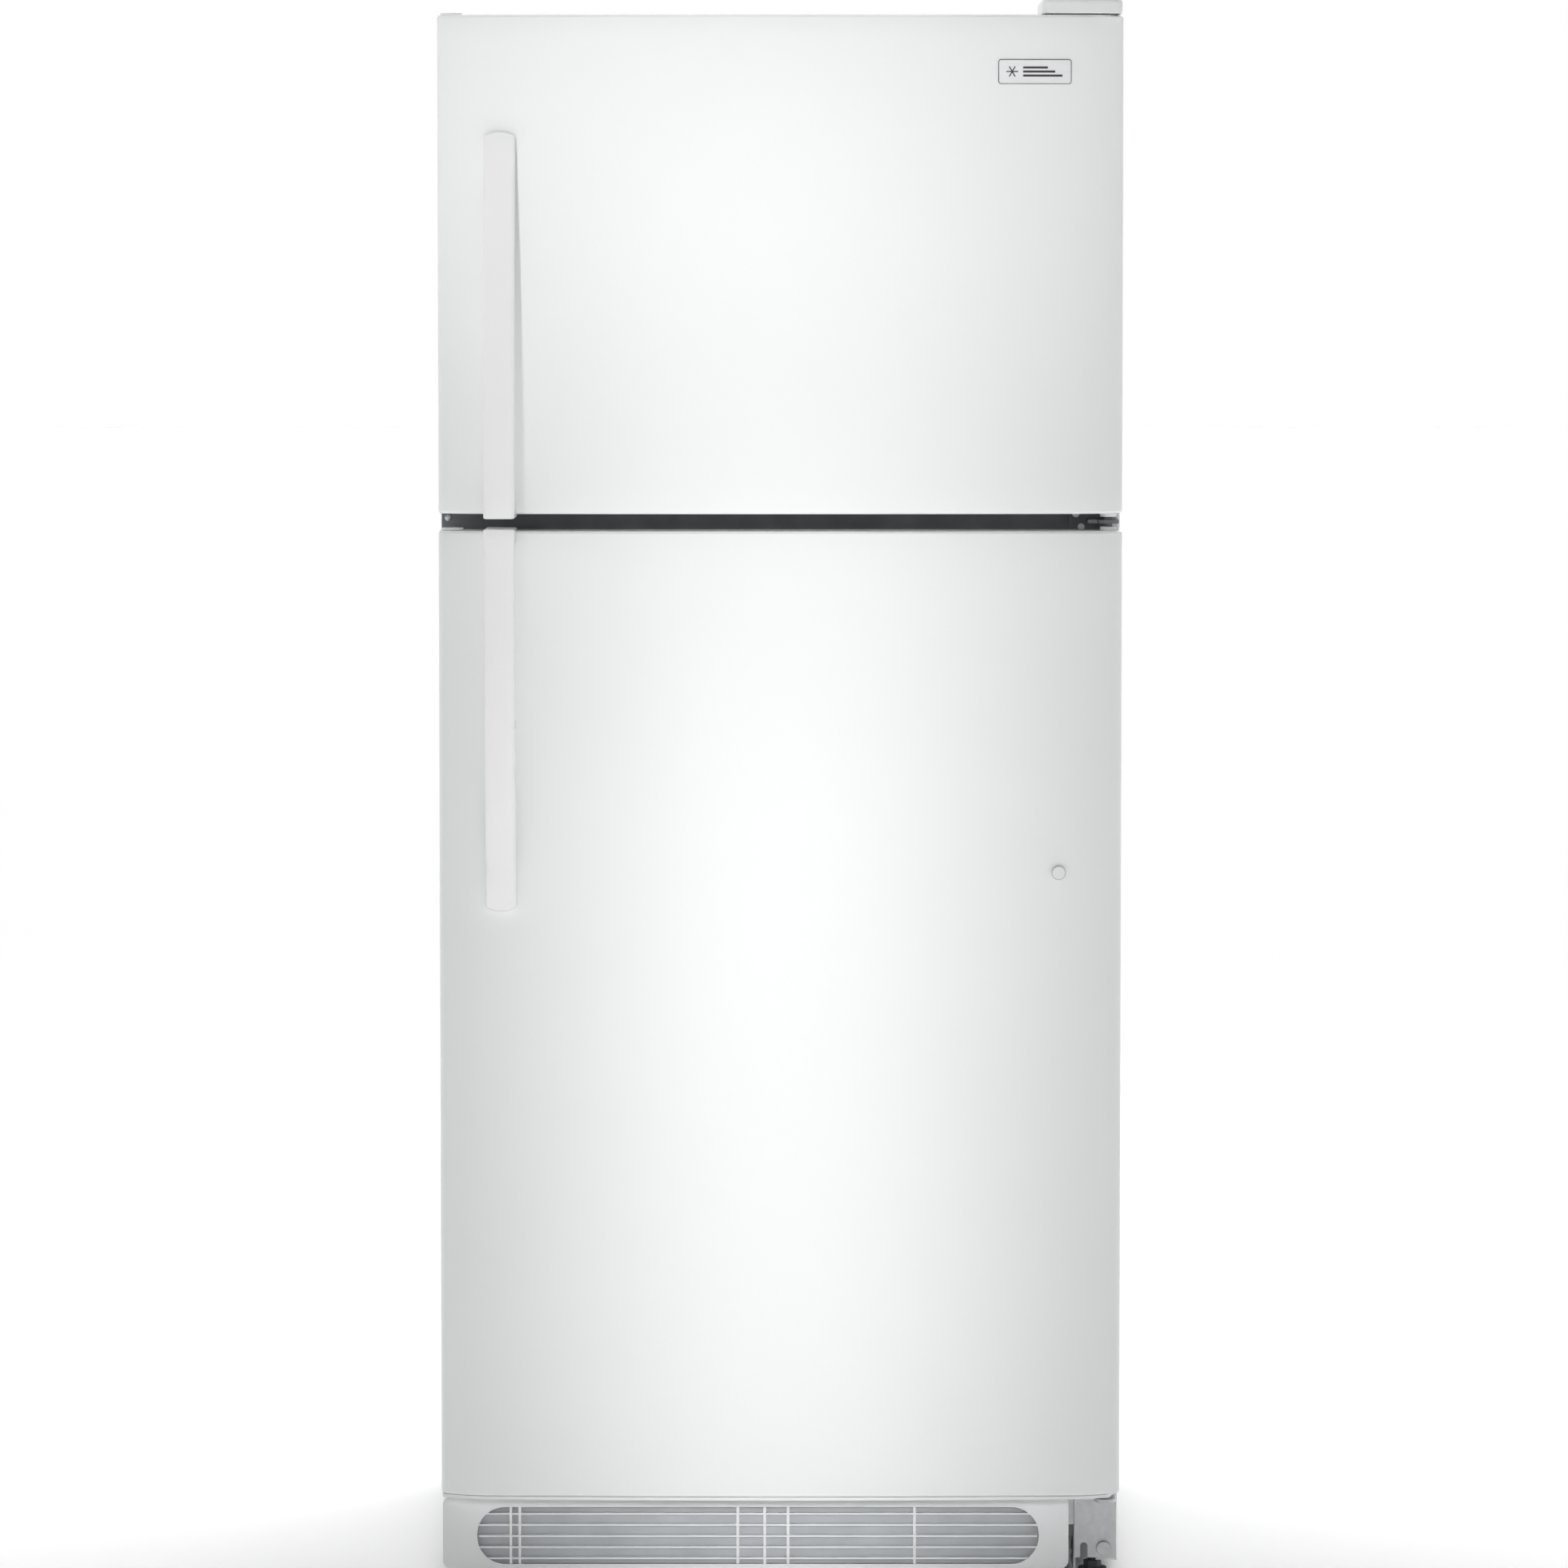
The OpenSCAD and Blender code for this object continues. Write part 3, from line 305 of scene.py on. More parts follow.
# Makes a mesh of (points, faces), gives it its finish and lets it ride. A piece named for a CAD node
# takes that node's body and slot. wall thickens an open surface away from its face.
def addPiece(name, shape, node=None, slot=None, body=None, wall=None, smooth=32, outward=True, looks=None,
             replace=True):
    points, faces = shape
    slot = slot or slotOf[node]
    body = body or bodyOf[node]
    mesh = bpy.data.meshes.new(name)
    mesh.from_pydata(np.asarray(points).tolist(), [], faces)
    if outward:
        shell = bmesh.new()
        shell.from_mesh(mesh)
        bmesh.ops.remove_doubles(shell, verts=shell.verts, dist=1e-6)
        bmesh.ops.recalc_face_normals(shell, faces=shell.faces)
        shell.to_mesh(mesh)
        shell.free()
    mesh.materials.append((looks or finishes)[slot])
    mesh.shade_smooth()
    mesh.set_sharp_from_angle(angle=math.radians(smooth))
    obj = bpy.data.objects.new(name, mesh)
    bpy.context.scene.collection.objects.link(obj)
    if wall:
        thick = obj.modifiers.new("wall", "SOLIDIFY")
        thick.thickness = wall
        thick.offset = -1
        thick.use_even_offset = True
    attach(obj, body)
    if node and replace:
        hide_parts(node)
    return obj


# Several (points, faces) as one.
def join(*shapes):
    points, faces, start = [], [], 0
    for p, f in shapes:
        points.append(np.asarray(p))
        faces += [[start + v for v in face] for face in f]
        start += len(p)
    return np.vstack(points), faces


# Steps round a quarter circle as (inset, rise) pairs: the inset falls from the radius to nothing while
# the rise grows from nothing to the radius.
def quarterRound(radius, steps=6):
    turn = np.linspace(0, math.pi / 2, steps)
    return list(zip(radius * (1 - np.sin(turn)), radius * (1 - np.cos(turn))))


# Rings of one rounded rectangle drawn in step by step; rows are (inset, level) and least is the smallest
# corner radius.
def insetRings(x, a, corner, rows, plane, least, around):
    return stackRings([([x[0] + i, x[1] - i], [a[0] + i, a[1] - i], max(corner - i, least), level)
                       for i, level in rows], plane, around)


# A block in millimetres whose upright edges have one radius and whose other edges a smaller one.
def softBlock(x, y, z, edge=1.5, corner=3.0):
    steps = quarterRound(edge, 4)
    rows = [(inset, z[0] + rise) for inset, rise in steps]
    rows += [(inset, z[1] - rise) for inset, rise in steps[::-1]]
    return loft(stackRings([([x[0] + i, x[1] - i], [y[0] + i, y[1] - i], corner, level)
                            for i, level in rows], "xy", 5) * mm)


# A tray in millimetres: the rows run up the outside, over a round rim and down the inside.
def trayShape(x, y, z, wall=3.0, corner=10.0, foot=4.0):
    rows = [(inset, z[0] + rise) for inset, rise in quarterRound(foot, 5)]
    rim = wall / 2
    rows += [(rim * (1 - math.cos(a)), z[1] - rim + rim * math.sin(a)) for a in np.linspace(0, math.pi, 7)]
    inner = max(foot - wall, 1.5)
    rows += [(wall + inset, z[0] + wall + rise) for inset, rise in quarterRound(inner, 5)[::-1]]
    return loft(insetRings(x, y, corner, rows, "xy", 1.5, 6) * mm)


# A closed band round a rectangle, from a closed section of (inset, y) points.
def bandShape(x, z, corner, section):
    return loft(insetRings(x, z, corner, section, "xz", 0.6, 7) * mm, loop=True)


# Unit directions into a closed outline at its points, halfway between the two sides that meet there.
def inwardOf(outline):
    after = np.roll(outline, -1, axis=0)
    ahead = after - outline
    behind = outline - np.roll(outline, 1, axis=0)
    along = ahead / np.linalg.norm(ahead, axis=1)[:, None]
    along = along + behind / np.linalg.norm(behind, axis=1)[:, None]
    along /= np.linalg.norm(along, axis=1)[:, None]
    left = np.column_stack((-along[:, 1], along[:, 0]))
    area = np.sum(outline[:, 0] * after[:, 1] - after[:, 0] * outline[:, 1])
    return left if area > 0 else -left


# A closed (y, z) outline carried along x, with a small round at both ends.
def prism(outline, x, edge=0.6):
    side = np.array(outline, float)
    inward = inwardOf(side) * edge
    bend = np.linspace(0, math.pi / 2, 4)
    across = np.concatenate((x[0] + edge * (1 - np.cos(bend)), (x[1] - edge * (1 - np.cos(bend)))[::-1]))
    cut = np.concatenate((1 - np.sin(bend), (1 - np.sin(bend))[::-1]))
    rings = np.array([np.column_stack((np.full(len(side), a), side + inward * c))
                      for a, c in zip(across, cut)])
    points, faces = loft(rings * mm, ends=(False, False))
    last = (len(rings) - 1) * len(side)
    return points, faces + [list(range(len(side)))[::-1], list(range(last, last + len(side)))]


# A turned shape in millimetres: rows are (radius, how far along), closed at both ends.
def turned(rows, centre, axis="y", around=40):
    turn = np.linspace(0, 2 * math.pi, around, endpoint=False)
    a, b, c = {"y": (0, 2, 1), "x": (1, 2, 0), "z": (0, 1, 2)}[axis]
    rings = np.zeros((len(rows), around, 3))
    for k, (radius, level) in enumerate(rows):
        rings[k, :, a] = centre[a] + radius * np.cos(turn)
        rings[k, :, b] = centre[b] + radius * np.sin(turn)
        rings[k, :, c] = centre[c] + level
    return loft(rings * mm)


# A CAD node's own shape with its doubles merged, flat faces dissolved and hard edges rounded.
def roundedCopy(node, width=0.8, segments=2, angle=30):
    source = nodes[node]
    shell = bmesh.new()
    shell.from_mesh(source.data)
    bmesh.ops.remove_doubles(shell, verts=shell.verts, dist=1e-6)
    bmesh.ops.dissolve_limit(shell, angle_limit=math.radians(1), verts=shell.verts, edges=shell.edges)
    mesh = bpy.data.meshes.new(node + "Rounded")
    shell.to_mesh(mesh)
    shell.free()
    mesh.materials.clear()
    mesh.materials.append(finishes[slotOf[node]])
    mesh.shade_smooth()
    mesh.set_sharp_from_angle(angle=math.radians(35))
    obj = bpy.data.objects.new(node + "Rounded", mesh)
    bpy.context.scene.collection.objects.link(obj)
    if width:
        bevel = obj.modifiers.new("edges", "BEVEL")
        bevel.width = width * mm
        bevel.segments = segments
        bevel.limit_method = "ANGLE"
        bevel.angle_limit = math.radians(angle)
        bevel.harden_normals = True
    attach(obj, bodyOf[node])
    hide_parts(node)
    return obj


# A CAD node's limits in millimetres as three (low, high) pairs.
def limits(node):
    lo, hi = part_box(node)
    return [(lo[k] / mm, hi[k] / mm) for k in range(3)]


buildStudio(studio)
finishes = buildFinishes()
print("studio and finishes ready")


# door panels
door = {"bow": 11.0, "turn": 16.0, "turnWidth": 60.0, "sideRound": 7.0, "endRound": 3.0, "endLip": 5.0,
        "lip": 9.0, "sheet": 0.9, "power": 2.2, "foamInset": 1.7, "foamBack": 15.0, "foamEnd": 25.0}
panelX, panelY, _ = limits("freezer_door_panel")
halfWidth = panelX[1]
crownY = panelY[0]
doorBack = panelY[1]


# The bowed face: a parabola over the whole door and a steeper power curve along each side.
def faceY(x):
    side = np.maximum(0, (np.abs(x) - halfWidth + door["turnWidth"]) / door["turnWidth"])
    return crownY + door["bow"] * (x / halfWidth) ** 2 + door["turn"] * side ** door["power"]


# Plan line of a door from its left back edge round the face to its right back edge, with a quadratic
# curve at each front corner.
def doorPath():
    r = door["sideRound"]
    x = (halfWidth - r) * np.sin(np.linspace(-math.pi / 2, math.pi / 2, 91))
    face = np.column_stack((x, faceY(x)))
    t = np.linspace(0, 1, 9)[1:, None]
    start = np.array([halfWidth - r, faceY(halfWidth - r)])
    corner = np.array([halfWidth, faceY(halfWidth)])
    end = corner + np.array([0, r])
    bend = (1 - t) ** 2 * start + 2 * t * (1 - t) * corner + t ** 2 * end
    side = np.column_stack((np.full(6, halfWidth), np.linspace(end[1], doorBack, 7)[1:]))
    back = np.array([[halfWidth - door["lip"], doorBack]])
    right = np.vstack((bend, side, back))
    left = right[::-1] * np.array([-1, 1])
    return np.vstack((left, face, right))


# Unit directions that point into the door from each point of its plan line.
def inwardFrom(path):
    along = np.gradient(path, axis=0)
    along /= np.linalg.norm(along, axis=1)[:, None]
    return np.column_stack((-along[:, 1], along[:, 0]))


# The plan line carried up the door; the rows at both ends step inwards round a small radius and then
# along a lip. cover is how far the sheet laps the caps at the lower and upper end.
def doorPanel(node, name, cover):
    low, high = limits(node)[2]
    z = (low - cover[0], high + cover[1])
    path = doorPath()
    r = door["endRound"]
    inset, rise = np.array([(r + door["endLip"], 0)] + quarterRound(r)).T
    middle = np.linspace(z[0] + r, z[1] - r, 26)[1:-1]
    heights = np.concatenate((z[0] + rise, middle, (z[1] - rise)[::-1]))
    insets = np.concatenate((inset, np.zeros(len(middle)), inset[::-1]))
    grid = path[None] + insets[:, None, None] * inwardFrom(path)[None]
    level = np.broadcast_to(heights[:, None, None], (*grid.shape[:2], 1))
    grid = np.concatenate((grid, level), axis=2) * mm
    return addPiece(name, openSheet(grid), node, wall=door["sheet"] * mm, outward=False)


# The foam behind the sheet: the plan line drawn in, cut off level with the liner's recess and closed. It
# ends short of the hinge pins.
def doorFoam(node, name):
    z = limits(node)[2]
    path = doorPath()
    back = doorBack - door["foamBack"]
    ring = path + inwardFrom(path) * door["foamInset"]
    ring = ring[ring[:, 1] < back]
    ring = np.vstack(([[ring[0, 0], back]], ring, [[ring[-1, 0], back]]))
    rings = np.array([np.column_stack((ring, np.full(len(ring), level)))
                      for level in (z[0] + door["foamEnd"], z[1] - door["foamEnd"])])
    return addPiece(name, loft(rings * mm), node)


doorPanel("freezer_door_panel", "freezerDoorSkin", (3.5, 3.5))
doorPanel("fridge_door_panel", "fridgeDoorSkin", (0.0, 3.5))
doorFoam("freezer_door_foam", "freezerDoorFoam")
doorFoam("fridge_door_foam", "fridgeDoorFoam")


# handles
handle = {"edge": 4.2, "thick": 12.0, "footHeight": 17.0, "arcPower": 2.1, "tipArc": 5.0, "belly": 1.2,
          "tipRise": 7.0, "fillet": 7.0, "flange": 3.7, "nose": 0.9}


# Side view of a handle standing on its lower end: a power curve falls from the standing end to the tip,
# and the inner line follows it until it meets the door.
def handleSide(length, front, foot, back):
    t = np.linspace(0, 1, 49)
    tip = foot - handle["tipRise"]
    out = front + (tip - front) * t ** handle["arcPower"]
    outer = np.column_stack((out, t * length))
    inner = np.column_stack((np.minimum(foot, out + handle["thick"] + 3 * t), t * length))[::-1]
    f, r, flange, n = (handle[k] for k in ("footHeight", "fillet", "flange", "nose"))
    inner = inner[inner[:, 1] > f + r]
    fillet = np.array([(inner[-1, 0] + rise, f + inset) for inset, rise in quarterRound(r)])
    rest = np.array([[foot - handle["thick"], f], [foot, f], [foot, flange], [back, flange], [back, 0.0]])
    bottom = np.column_stack((np.linspace(back, front + 3, 10)[1:], np.zeros(9)))
    nose = np.array([[front + n, n]])
    outer = outer[outer[:, 1] > 2.5]
    return np.vstack((outer, inner, fillet, rest, bottom, nose))


def handlePiece(node, name, upsideDown):
    x, y, z = limits(node)
    middle, half = sum(x) / 2, (x[1] - x[0]) / 2
    length = z[1] - z[0]
    foot = float(faceY(np.array(x[1]))) - 0.4
    side = handleSide(length, y[0], foot, y[1])
    inward = inwardOf(side)
    bend = np.linspace(0, math.pi / 2, 6)
    e = handle["edge"]
    across = np.concatenate((-half + e * (1 - np.cos(bend)), np.linspace(-half + e, half - e, 9)[1:-1],
                             (half - e * (1 - np.cos(bend)))[::-1]))
    inset = np.concatenate((e * (1 - np.sin(bend)), np.zeros(7), (e * (1 - np.sin(bend)))[::-1]))
    # thin stretches take a smaller edge than the grip
    room = np.where(side[:, 1] < 4.5, 0.35, 1.0) * np.where(side[:, 1] > length - 40, 0.55, 1.0)
    rings = []
    for offset, cut in zip(across, inset):
        ring = side + inward * (cut * room)[:, None]
        share = (offset / half) ** 2
        climb = np.clip(ring[:, 1] / length, 0, 1)
        height = ring[:, 1] - handle["tipArc"] * share * climb ** 6
        depth = ring[:, 0] + handle["belly"] * share * (ring[:, 0] < foot - 14)
        rings.append(np.column_stack((np.full(len(ring), middle + offset), depth, height)))
    rings = np.array(rings)
    rings[:, :, 2] = z[1] - rings[:, :, 2] if upsideDown else z[0] + rings[:, :, 2]
    rings[:, :, 2] = np.clip(rings[:, :, 2], z[0], z[1])
    points, faces = loft(rings * mm, ends=(False, False))
    count = rings.shape[1]
    last = (len(rings) - 1) * count
    faces += [list(range(count))[::-1], list(range(last, last + count))]
    return addPiece(name, (points, faces), node, smooth=40)


handlePiece("freezer_door_handle", "freezerHandle", False)
handlePiece("fridge_door_handle", "fridgeHandle", True)
print("doors and handles built")


# outside fittings
cover = {"wall": 3.5, "edge": 6.0, "corner": 9.0, "crown": 0.4}


# The hinge cover: a hollow cap, its rows running up the inside, under the rim and over the dome.
def hingeCover(c):
    x, y, z = limits("hinge_cover")
    rows = [(c["wall"], z[1] - 2.2), (c["wall"], z[0] + 0.3), (0.4, z[0]), (0, z[0] + 0.6)]
    rows += [(rise, z[1] - inset - c["crown"]) for inset, rise in quarterRound(c["edge"], 7)]
    rows.append((c["edge"] + 12, z[1]))
    rings = insetRings(x, y, c["corner"], rows, "xy", 1.5, 8)
    return addPiece("hingeCover", loft(rings * mm), "hinge_cover")


badge = {"rim": 0.8, "corner": 3.0, "armLength": 6.4, "armWidth": 1.3, "crystalIn": 15, "bar": 2.3,
         "barPitch": 4.4, "barFrom": 27, "barTo": 10, "barStep": 8, "markFoot": 1.4, "markTop": 1.58,
         "rimRows": [(0, 0.32), (0, 0.75), (0.25, 1.0)], "plateRows": [(0, 0.98), (0, 1.3), (0.3, 1.5)]}


# A plate that follows the door's bow; rows are (inset, how proud of the face).
def bowedPlate(x, z, corner, rows):
    rings = insetRings(x, z, corner, rows, "xz", 0.4, 6)
    rings[:, :, 1] = faceY(rings[:, :, 0]) - rings[:, :, 1]
    return loft(rings * mm)


# A thin block from the four points of its back and the four of its face.
def thinBlock(back, face):
    return np.vstack((back, face)) * mm, [[3, 2, 1, 0], [4, 5, 6, 7], [0, 1, 5, 4], [1, 2, 6, 5],
                                          [2, 3, 7, 6], [3, 0, 4, 7]]


# The badge: a dark rim, a pale plate inside it, and a six-armed snow crystal with three bars beside it.
def doorBadge(b):
    x, _, z = limits("badge_plate")
    inside = b["rim"]
    addPiece("badgeRim", bowedPlate(x, z, b["corner"], b["rimRows"]), "badge_plate",
             slot="black_plastic", replace=False)
    plate = bowedPlate([x[0] + inside, x[1] - inside], [z[0] + inside, z[1] - inside],
                       b["corner"] - inside, b["plateRows"])
    addPiece("badgePlate", plate, "badge_plate")
    middle = sum(z) / 2
    reach, wide = b["armLength"], b["armWidth"] / 2
    arm = np.array([(-reach, -wide), (reach, -wide), (reach, wide), (-reach, wide)])
    outlines = []
    for turn in np.arange(3) * math.pi / 3:
        spin = np.array([[math.cos(turn), math.sin(turn)], [-math.sin(turn), math.cos(turn)]])
        outlines.append(arm @ spin + np.array([x[0] + b["crystalIn"], middle]))
    for k in range(3):
        low = middle + (k - 1) * b["barPitch"] - b["bar"] / 2
        high = low + b["bar"]
        left, right = x[0] + b["barFrom"], x[1] - b["barTo"] - b["barStep"] * k
        outlines.append(np.array([(left, low), (right, low), (right, high), (left, high)]))
    marks = []
    for k, flat in enumerate(outlines):
        # the arms cross, so each stands a hair higher than the last
        foot, top = (np.column_stack((flat[:, 0], faceY(flat[:, 0]) - proud, flat[:, 1]))
                     for proud in (b["markFoot"], b["markTop"] + 0.005 * (k % 3)))
        marks.append(thinBlock(foot, top))
    addPiece("badgeMark", join(*marks), "badge_plate", slot="black_plastic", replace=False)


hingeCover(cover)
doorBadge(badge)

shell = {"corner": 5.0, "front": 3.0, "sheet": 0.9, "flange": 23.5}


# The cabinet's painted sheets as one folded sheet: an arch over both sides and the top, a small round
# at the front and a flange that turns inwards.
def cabinetShell(c):
    x, y, z = limits("cabinet_wrapper")
    bend = np.linspace(0, math.pi / 2, 6)
    r = c["front"]
    rows = [(0, level) for level in np.linspace(y[1], y[0] + r, 8)]
    rows += [(rise, y[0] + inset) for inset, rise in quarterRound(r)[1:]]
    rows.append((c["flange"], y[0]))
    grid = []
    for inset, level in rows:
        half = x[1] - inset
        top = z[1] - inset
        corner = max(c["corner"] - inset, 0.5)
        right = corner * np.column_stack((np.cos(bend), np.sin(bend))) + (half - corner, top - corner)
        flat = np.vstack(([[half, z[0]], [half, (z[0] + top) / 2]], right, [[0, top]]))
        whole = np.vstack((flat, (flat[:-1] * np.array([-1, 1]))[::-1]))
        grid.append(np.column_stack((whole[:, 0], np.full(len(whole), level), whole[:, 1])))
    return addPiece("cabinetShell", openSheet(np.array(grid) * mm), "cabinet_wrapper", wall=c["sheet"] * mm,
                    outward=False)


cabinetShell(shell)
# the mullion rail takes the near-black dark_steel finish, which is partly painted shade for the gap between
# the doors
for node, width in {"toe_grille": 0.7, "freezer_door_caps": 0.5, "fridge_door_caps": 0.5, "top_hinge": 0.6,
                    "centre_hinge": 0.6, "lower_hinge": 0.5, "cabinet_screws": 0.7, "base_frame": 0.5,
                    "mullion_rail": 0.4, "rear_cover": 0.5, "rear_panel": 0.3, "power_inlet": 0.8,
                    "levelling_leg_left": 0.5, "levelling_leg_right": 0.5, "front_roller_left": 0.8,
                    "front_roller_right": 0.8, "rear_rollers": 0.8}.items():
    roundedCopy(node, width, 2)

spare = {"coverX": -375, "coverWide": 22, "coverIn": 12, "coverOut": 1.1, "screwX": -368, "screwZ": 1188,
         "plugPlace": (306, -322), "ringIn": 70, "ringProud": 3.9, "ringZ": 800}
screwHead = [(4.0, 0), (3.9, 0.7), (3.1, 1.7), (1.6, 2.3), (0.1, 2.4)]


# The cover over the spare hinge holes at the left with its screw, the plug over the spare hole on the
# lower door's top, and a grey ring round the blanking button on the lower door, which is painted shade for
# the seam round it.
def spareHoles(c):
    x, y, z = limits("mullion_rail")
    out = c["coverOut"]
    plate = softBlock((c["coverX"], x[0] + c["coverWide"]), (y[0] - out, y[0] - out + 1),
                      (z[0] + c["coverIn"], z[1] - c["coverIn"]), 0.3, 0.45)
    # the cover takes the near-black dark_steel finish, partly painted shade for the gap between the doors
    addPiece("spareHingeCover", plate, slot="dark_steel", body="cabinet")
    screw = [(0.1, -2.4), (1.6, -2.3), (3.1, -1.7), (3.9, -0.7), (4.0, 0)]
    addPiece("spareHingeScrew", turned(screw, (c["screwX"], y[0] - out + 0.05, c["screwZ"])),
             slot="galvanised_steel", body="cabinet")
    doorTop = limits("fridge_door_panel")[2][1]
    plug = turned([(6.5, 0), (6.5, 0.9), (5.6, 1.6), (0.1, 1.9)], (*c["plugPlace"], doorTop + 0.02), "z")
    addPiece("smallPlug", plug, slot="white_plastic", body="fridge_door")
    # the grey ring is painted shade: a thin grey outline that stands for the shadowed seam round the button
    ringX = halfWidth - c["ringIn"]
    ringY = float(faceY(ringX)) - c["ringProud"]
    addPiece("buttonShadeRing", turned([(7.7, 0), (7.7, 3.6), (7.7, 9)], (ringX, ringY, c["ringZ"])),
             slot="grey_plastic", body="fridge_door")


spareHoles(spare)

rear = {"edgeX": 362, "topZ": 1722, "rows": (370, 640, 910, 1180, 1450), "between": (-180, 0, 180),
        "plugX": 150, "plugRows": (520, 1330)}


# Screws along the rear panel's edges and the plugs over its foaming holes.
def rearFittings(c):
    y = limits("rear_panel")[1][1] + 0.05
    spots = [(x, z) for x in (-c["edgeX"], c["edgeX"]) for z in (*c["rows"], c["topZ"])]
    spots += [(x, c["topZ"]) for x in c["between"]]
    addPiece("rearScrews", join(*[turned(screwHead, (x, y, z), around=24) for x, z in spots]),
             slot="galvanised_steel", body="cabinet")
    plug = [(15, 0), (15, 1.0), (13.6, 1.8), (5, 2.2)]
    addPiece("foamPlugs", join(*[turned(plug, (x, y, z)) for x in (-c["plugX"], c["plugX"])
                                 for z in c["plugRows"]]), slot="grey_plastic", body="cabinet")


rearFittings(rear)
print("outside fittings built")

# compartments and what they hold
room = {"round": 14.0, "flare": 6.0, "wall": 2.0, "step": 12.0, "half": 328.0, "back": 345.0,
        "freezer": (1218.0, 1690.0), "freezerLedges": [1452],
        "fresh": (150.0, 1152.0), "freshStep": (128.0, 340.0), "freshLedges": [388, 552, 762, 966],
        "runners": (-290, -35, 35, 290)}


# A moulded compartment: rows run from the back wall forwards, round the front edge into the flange and
# back along the outside. step is the (y, z) edge of the raised floor at the back, or none.
def compartment(name, node, wide, z, back, flange, corner, step=None, extras=()):
    front = limits(node)[1][0]
    low = step[1] if step else z[0]
    rows = [(inset, back - rise, low) for inset, rise in quarterRound(room["round"])]
    if step:
        bend = quarterRound(room["step"])
        rows += [(0, step[0] + inset, low - rise) for inset, rise in bend]
        rows += [(0, step[0] - rise, z[0] + inset) for inset, rise in bend]
    rows += [(0, level, z[0]) for level in np.linspace(step[0] - 20 if step else back - 20, front + 8, 6)]
    rows += [(-rise, front + inset, z[0]) for inset, rise in quarterRound(room["flare"])]
    rings = [([-wide + i, wide - i], [bottom + i, z[1] - i], max(corner - i, 2), level)
             for i, level, bottom in rows]
    rings += [(flange[0], flange[1], corner + 6, front), (flange[0], flange[1], corner + 6, front + 2)]
    w = room["wall"]
    outside = [(front + 2, z[0])] + ([(step[0] + w, z[0]), (step[0] + w, low)] if step else [])
    outside.append((back + w, low))
    rings += [([-wide - w, wide + w], [bottom - w, z[1] + w], corner, level) for level, bottom in outside]
    shape = join(loft(stackRings(rings, "xz", 7) * mm), *extras)
    return addPiece(name, shape, node)


# Ledges along both side walls, in millimetres.
def ledges(wide, y, levels):
    made = []
    for level in levels:
        depth = y if level > 400 else (y[0], 120)
        for side in (-1, 1):
            x = sorted((side * (wide - 10), side * (wide + 1)))
            made.append(softBlock(x, depth, (level - 6, level - 0.2), 1.5, 2))
    return made


flangeX = limits("mullion_rail")[0]
compartment("freezerLiner", "freezer_liner", room["half"], room["freezer"], room["back"],
            (flangeX, limits("freezer_liner")[2]), 8,
            extras=ledges(room["half"], (-150, 250), room["freezerLedges"]))
runners = [softBlock((c - 5, c + 5), (-120, 115), (149, 156.2), 1.2, 2) for c in room["runners"]]
compartment("freshFoodLiner", "fresh_food_liner", room["half"], room["fresh"], room["back"],
            (flangeX, limits("fresh_food_liner")[2]), 12, step=room["freshStep"],
            extras=ledges(room["half"], (-140, 300), room["freshLedges"]) + runners)

dike = {"half": 316.0, "width": 24.0, "foot": 5.0, "top": 8.0, "floor": 3.0, "corner": 14.0,
        "lapX": 4.0, "lapZ": 6.0, "sheet": 14.8, "recess": 2.0,
        "freezer": (1230.0, 1678.0), "fridge": (162.0, 1140.0)}


# A door's inner liner: a sheet round the door, a ridge that stands on it and the recessed floor.
def doorLiner(node, name, levels, shelves):
    x, y, z = limits(node)
    low, high = levels
    d = dike
    half = d["half"]
    sheetY, recessY = y[0] + d["sheet"], y[0] + d["recess"]
    wide = (x[0] - d["lapX"], x[1] + d["lapX"])
    tall = (z[0] - d["lapZ"], z[1] + d["lapZ"])
    rows = [([-half, half], [low, high], d["corner"], level) for level in (y[0], sheetY)]
    rows += [(wide, tall, 6, level) for level in (sheetY, sheetY + 2)]
    crest = quarterRound(d["top"])
    section = [(-inset, sheetY + 2 + rise) for inset, rise in quarterRound(d["foot"])]
    section += [(rise, y[1] - inset) for inset, rise in crest]
    section += [(d["width"] - inset, y[1] - rise) for inset, rise in crest]
    section += [(d["width"] + rise, recessY + inset) for inset, rise in quarterRound(d["floor"])]
    rows += [([-half + i, half - i], [low + i, high - i], max(d["corner"] - i, 3), level)
             for i, level in section]
    inner = half - d["width"]
    stops = [softBlock(sorted((side * (inner - 12), side * (inner + 1))), (recessY + 12, recessY + 45),
                       (level - 7, level - 0.3), 1.5, 2) for level in shelves for side in (-1, 1)]
    return addPiece(name, join(loft(stackRings(rows, "xz", 7) * mm), *stops), node)


bins = {"wall": 3, "corner": 10, "freezer": (1262.0, 1468.0), "freezerTall": 80,
        "fridge": (202.0, 472.0, 742.0), "fridgeTall": 95, "dairy": 1006.0, "dairyTall": 20,
        "earTop": 1114, "earDrop": 14, "pinZ": 1108}
doorLiner("freezer_door_liner", "freezerDoorLiner", dike["freezer"], bins["freezer"])
doorLiner("fridge_door_liner", "fridgeDoorLiner", dike["fridge"], (*bins["fridge"], bins["dairy"]))

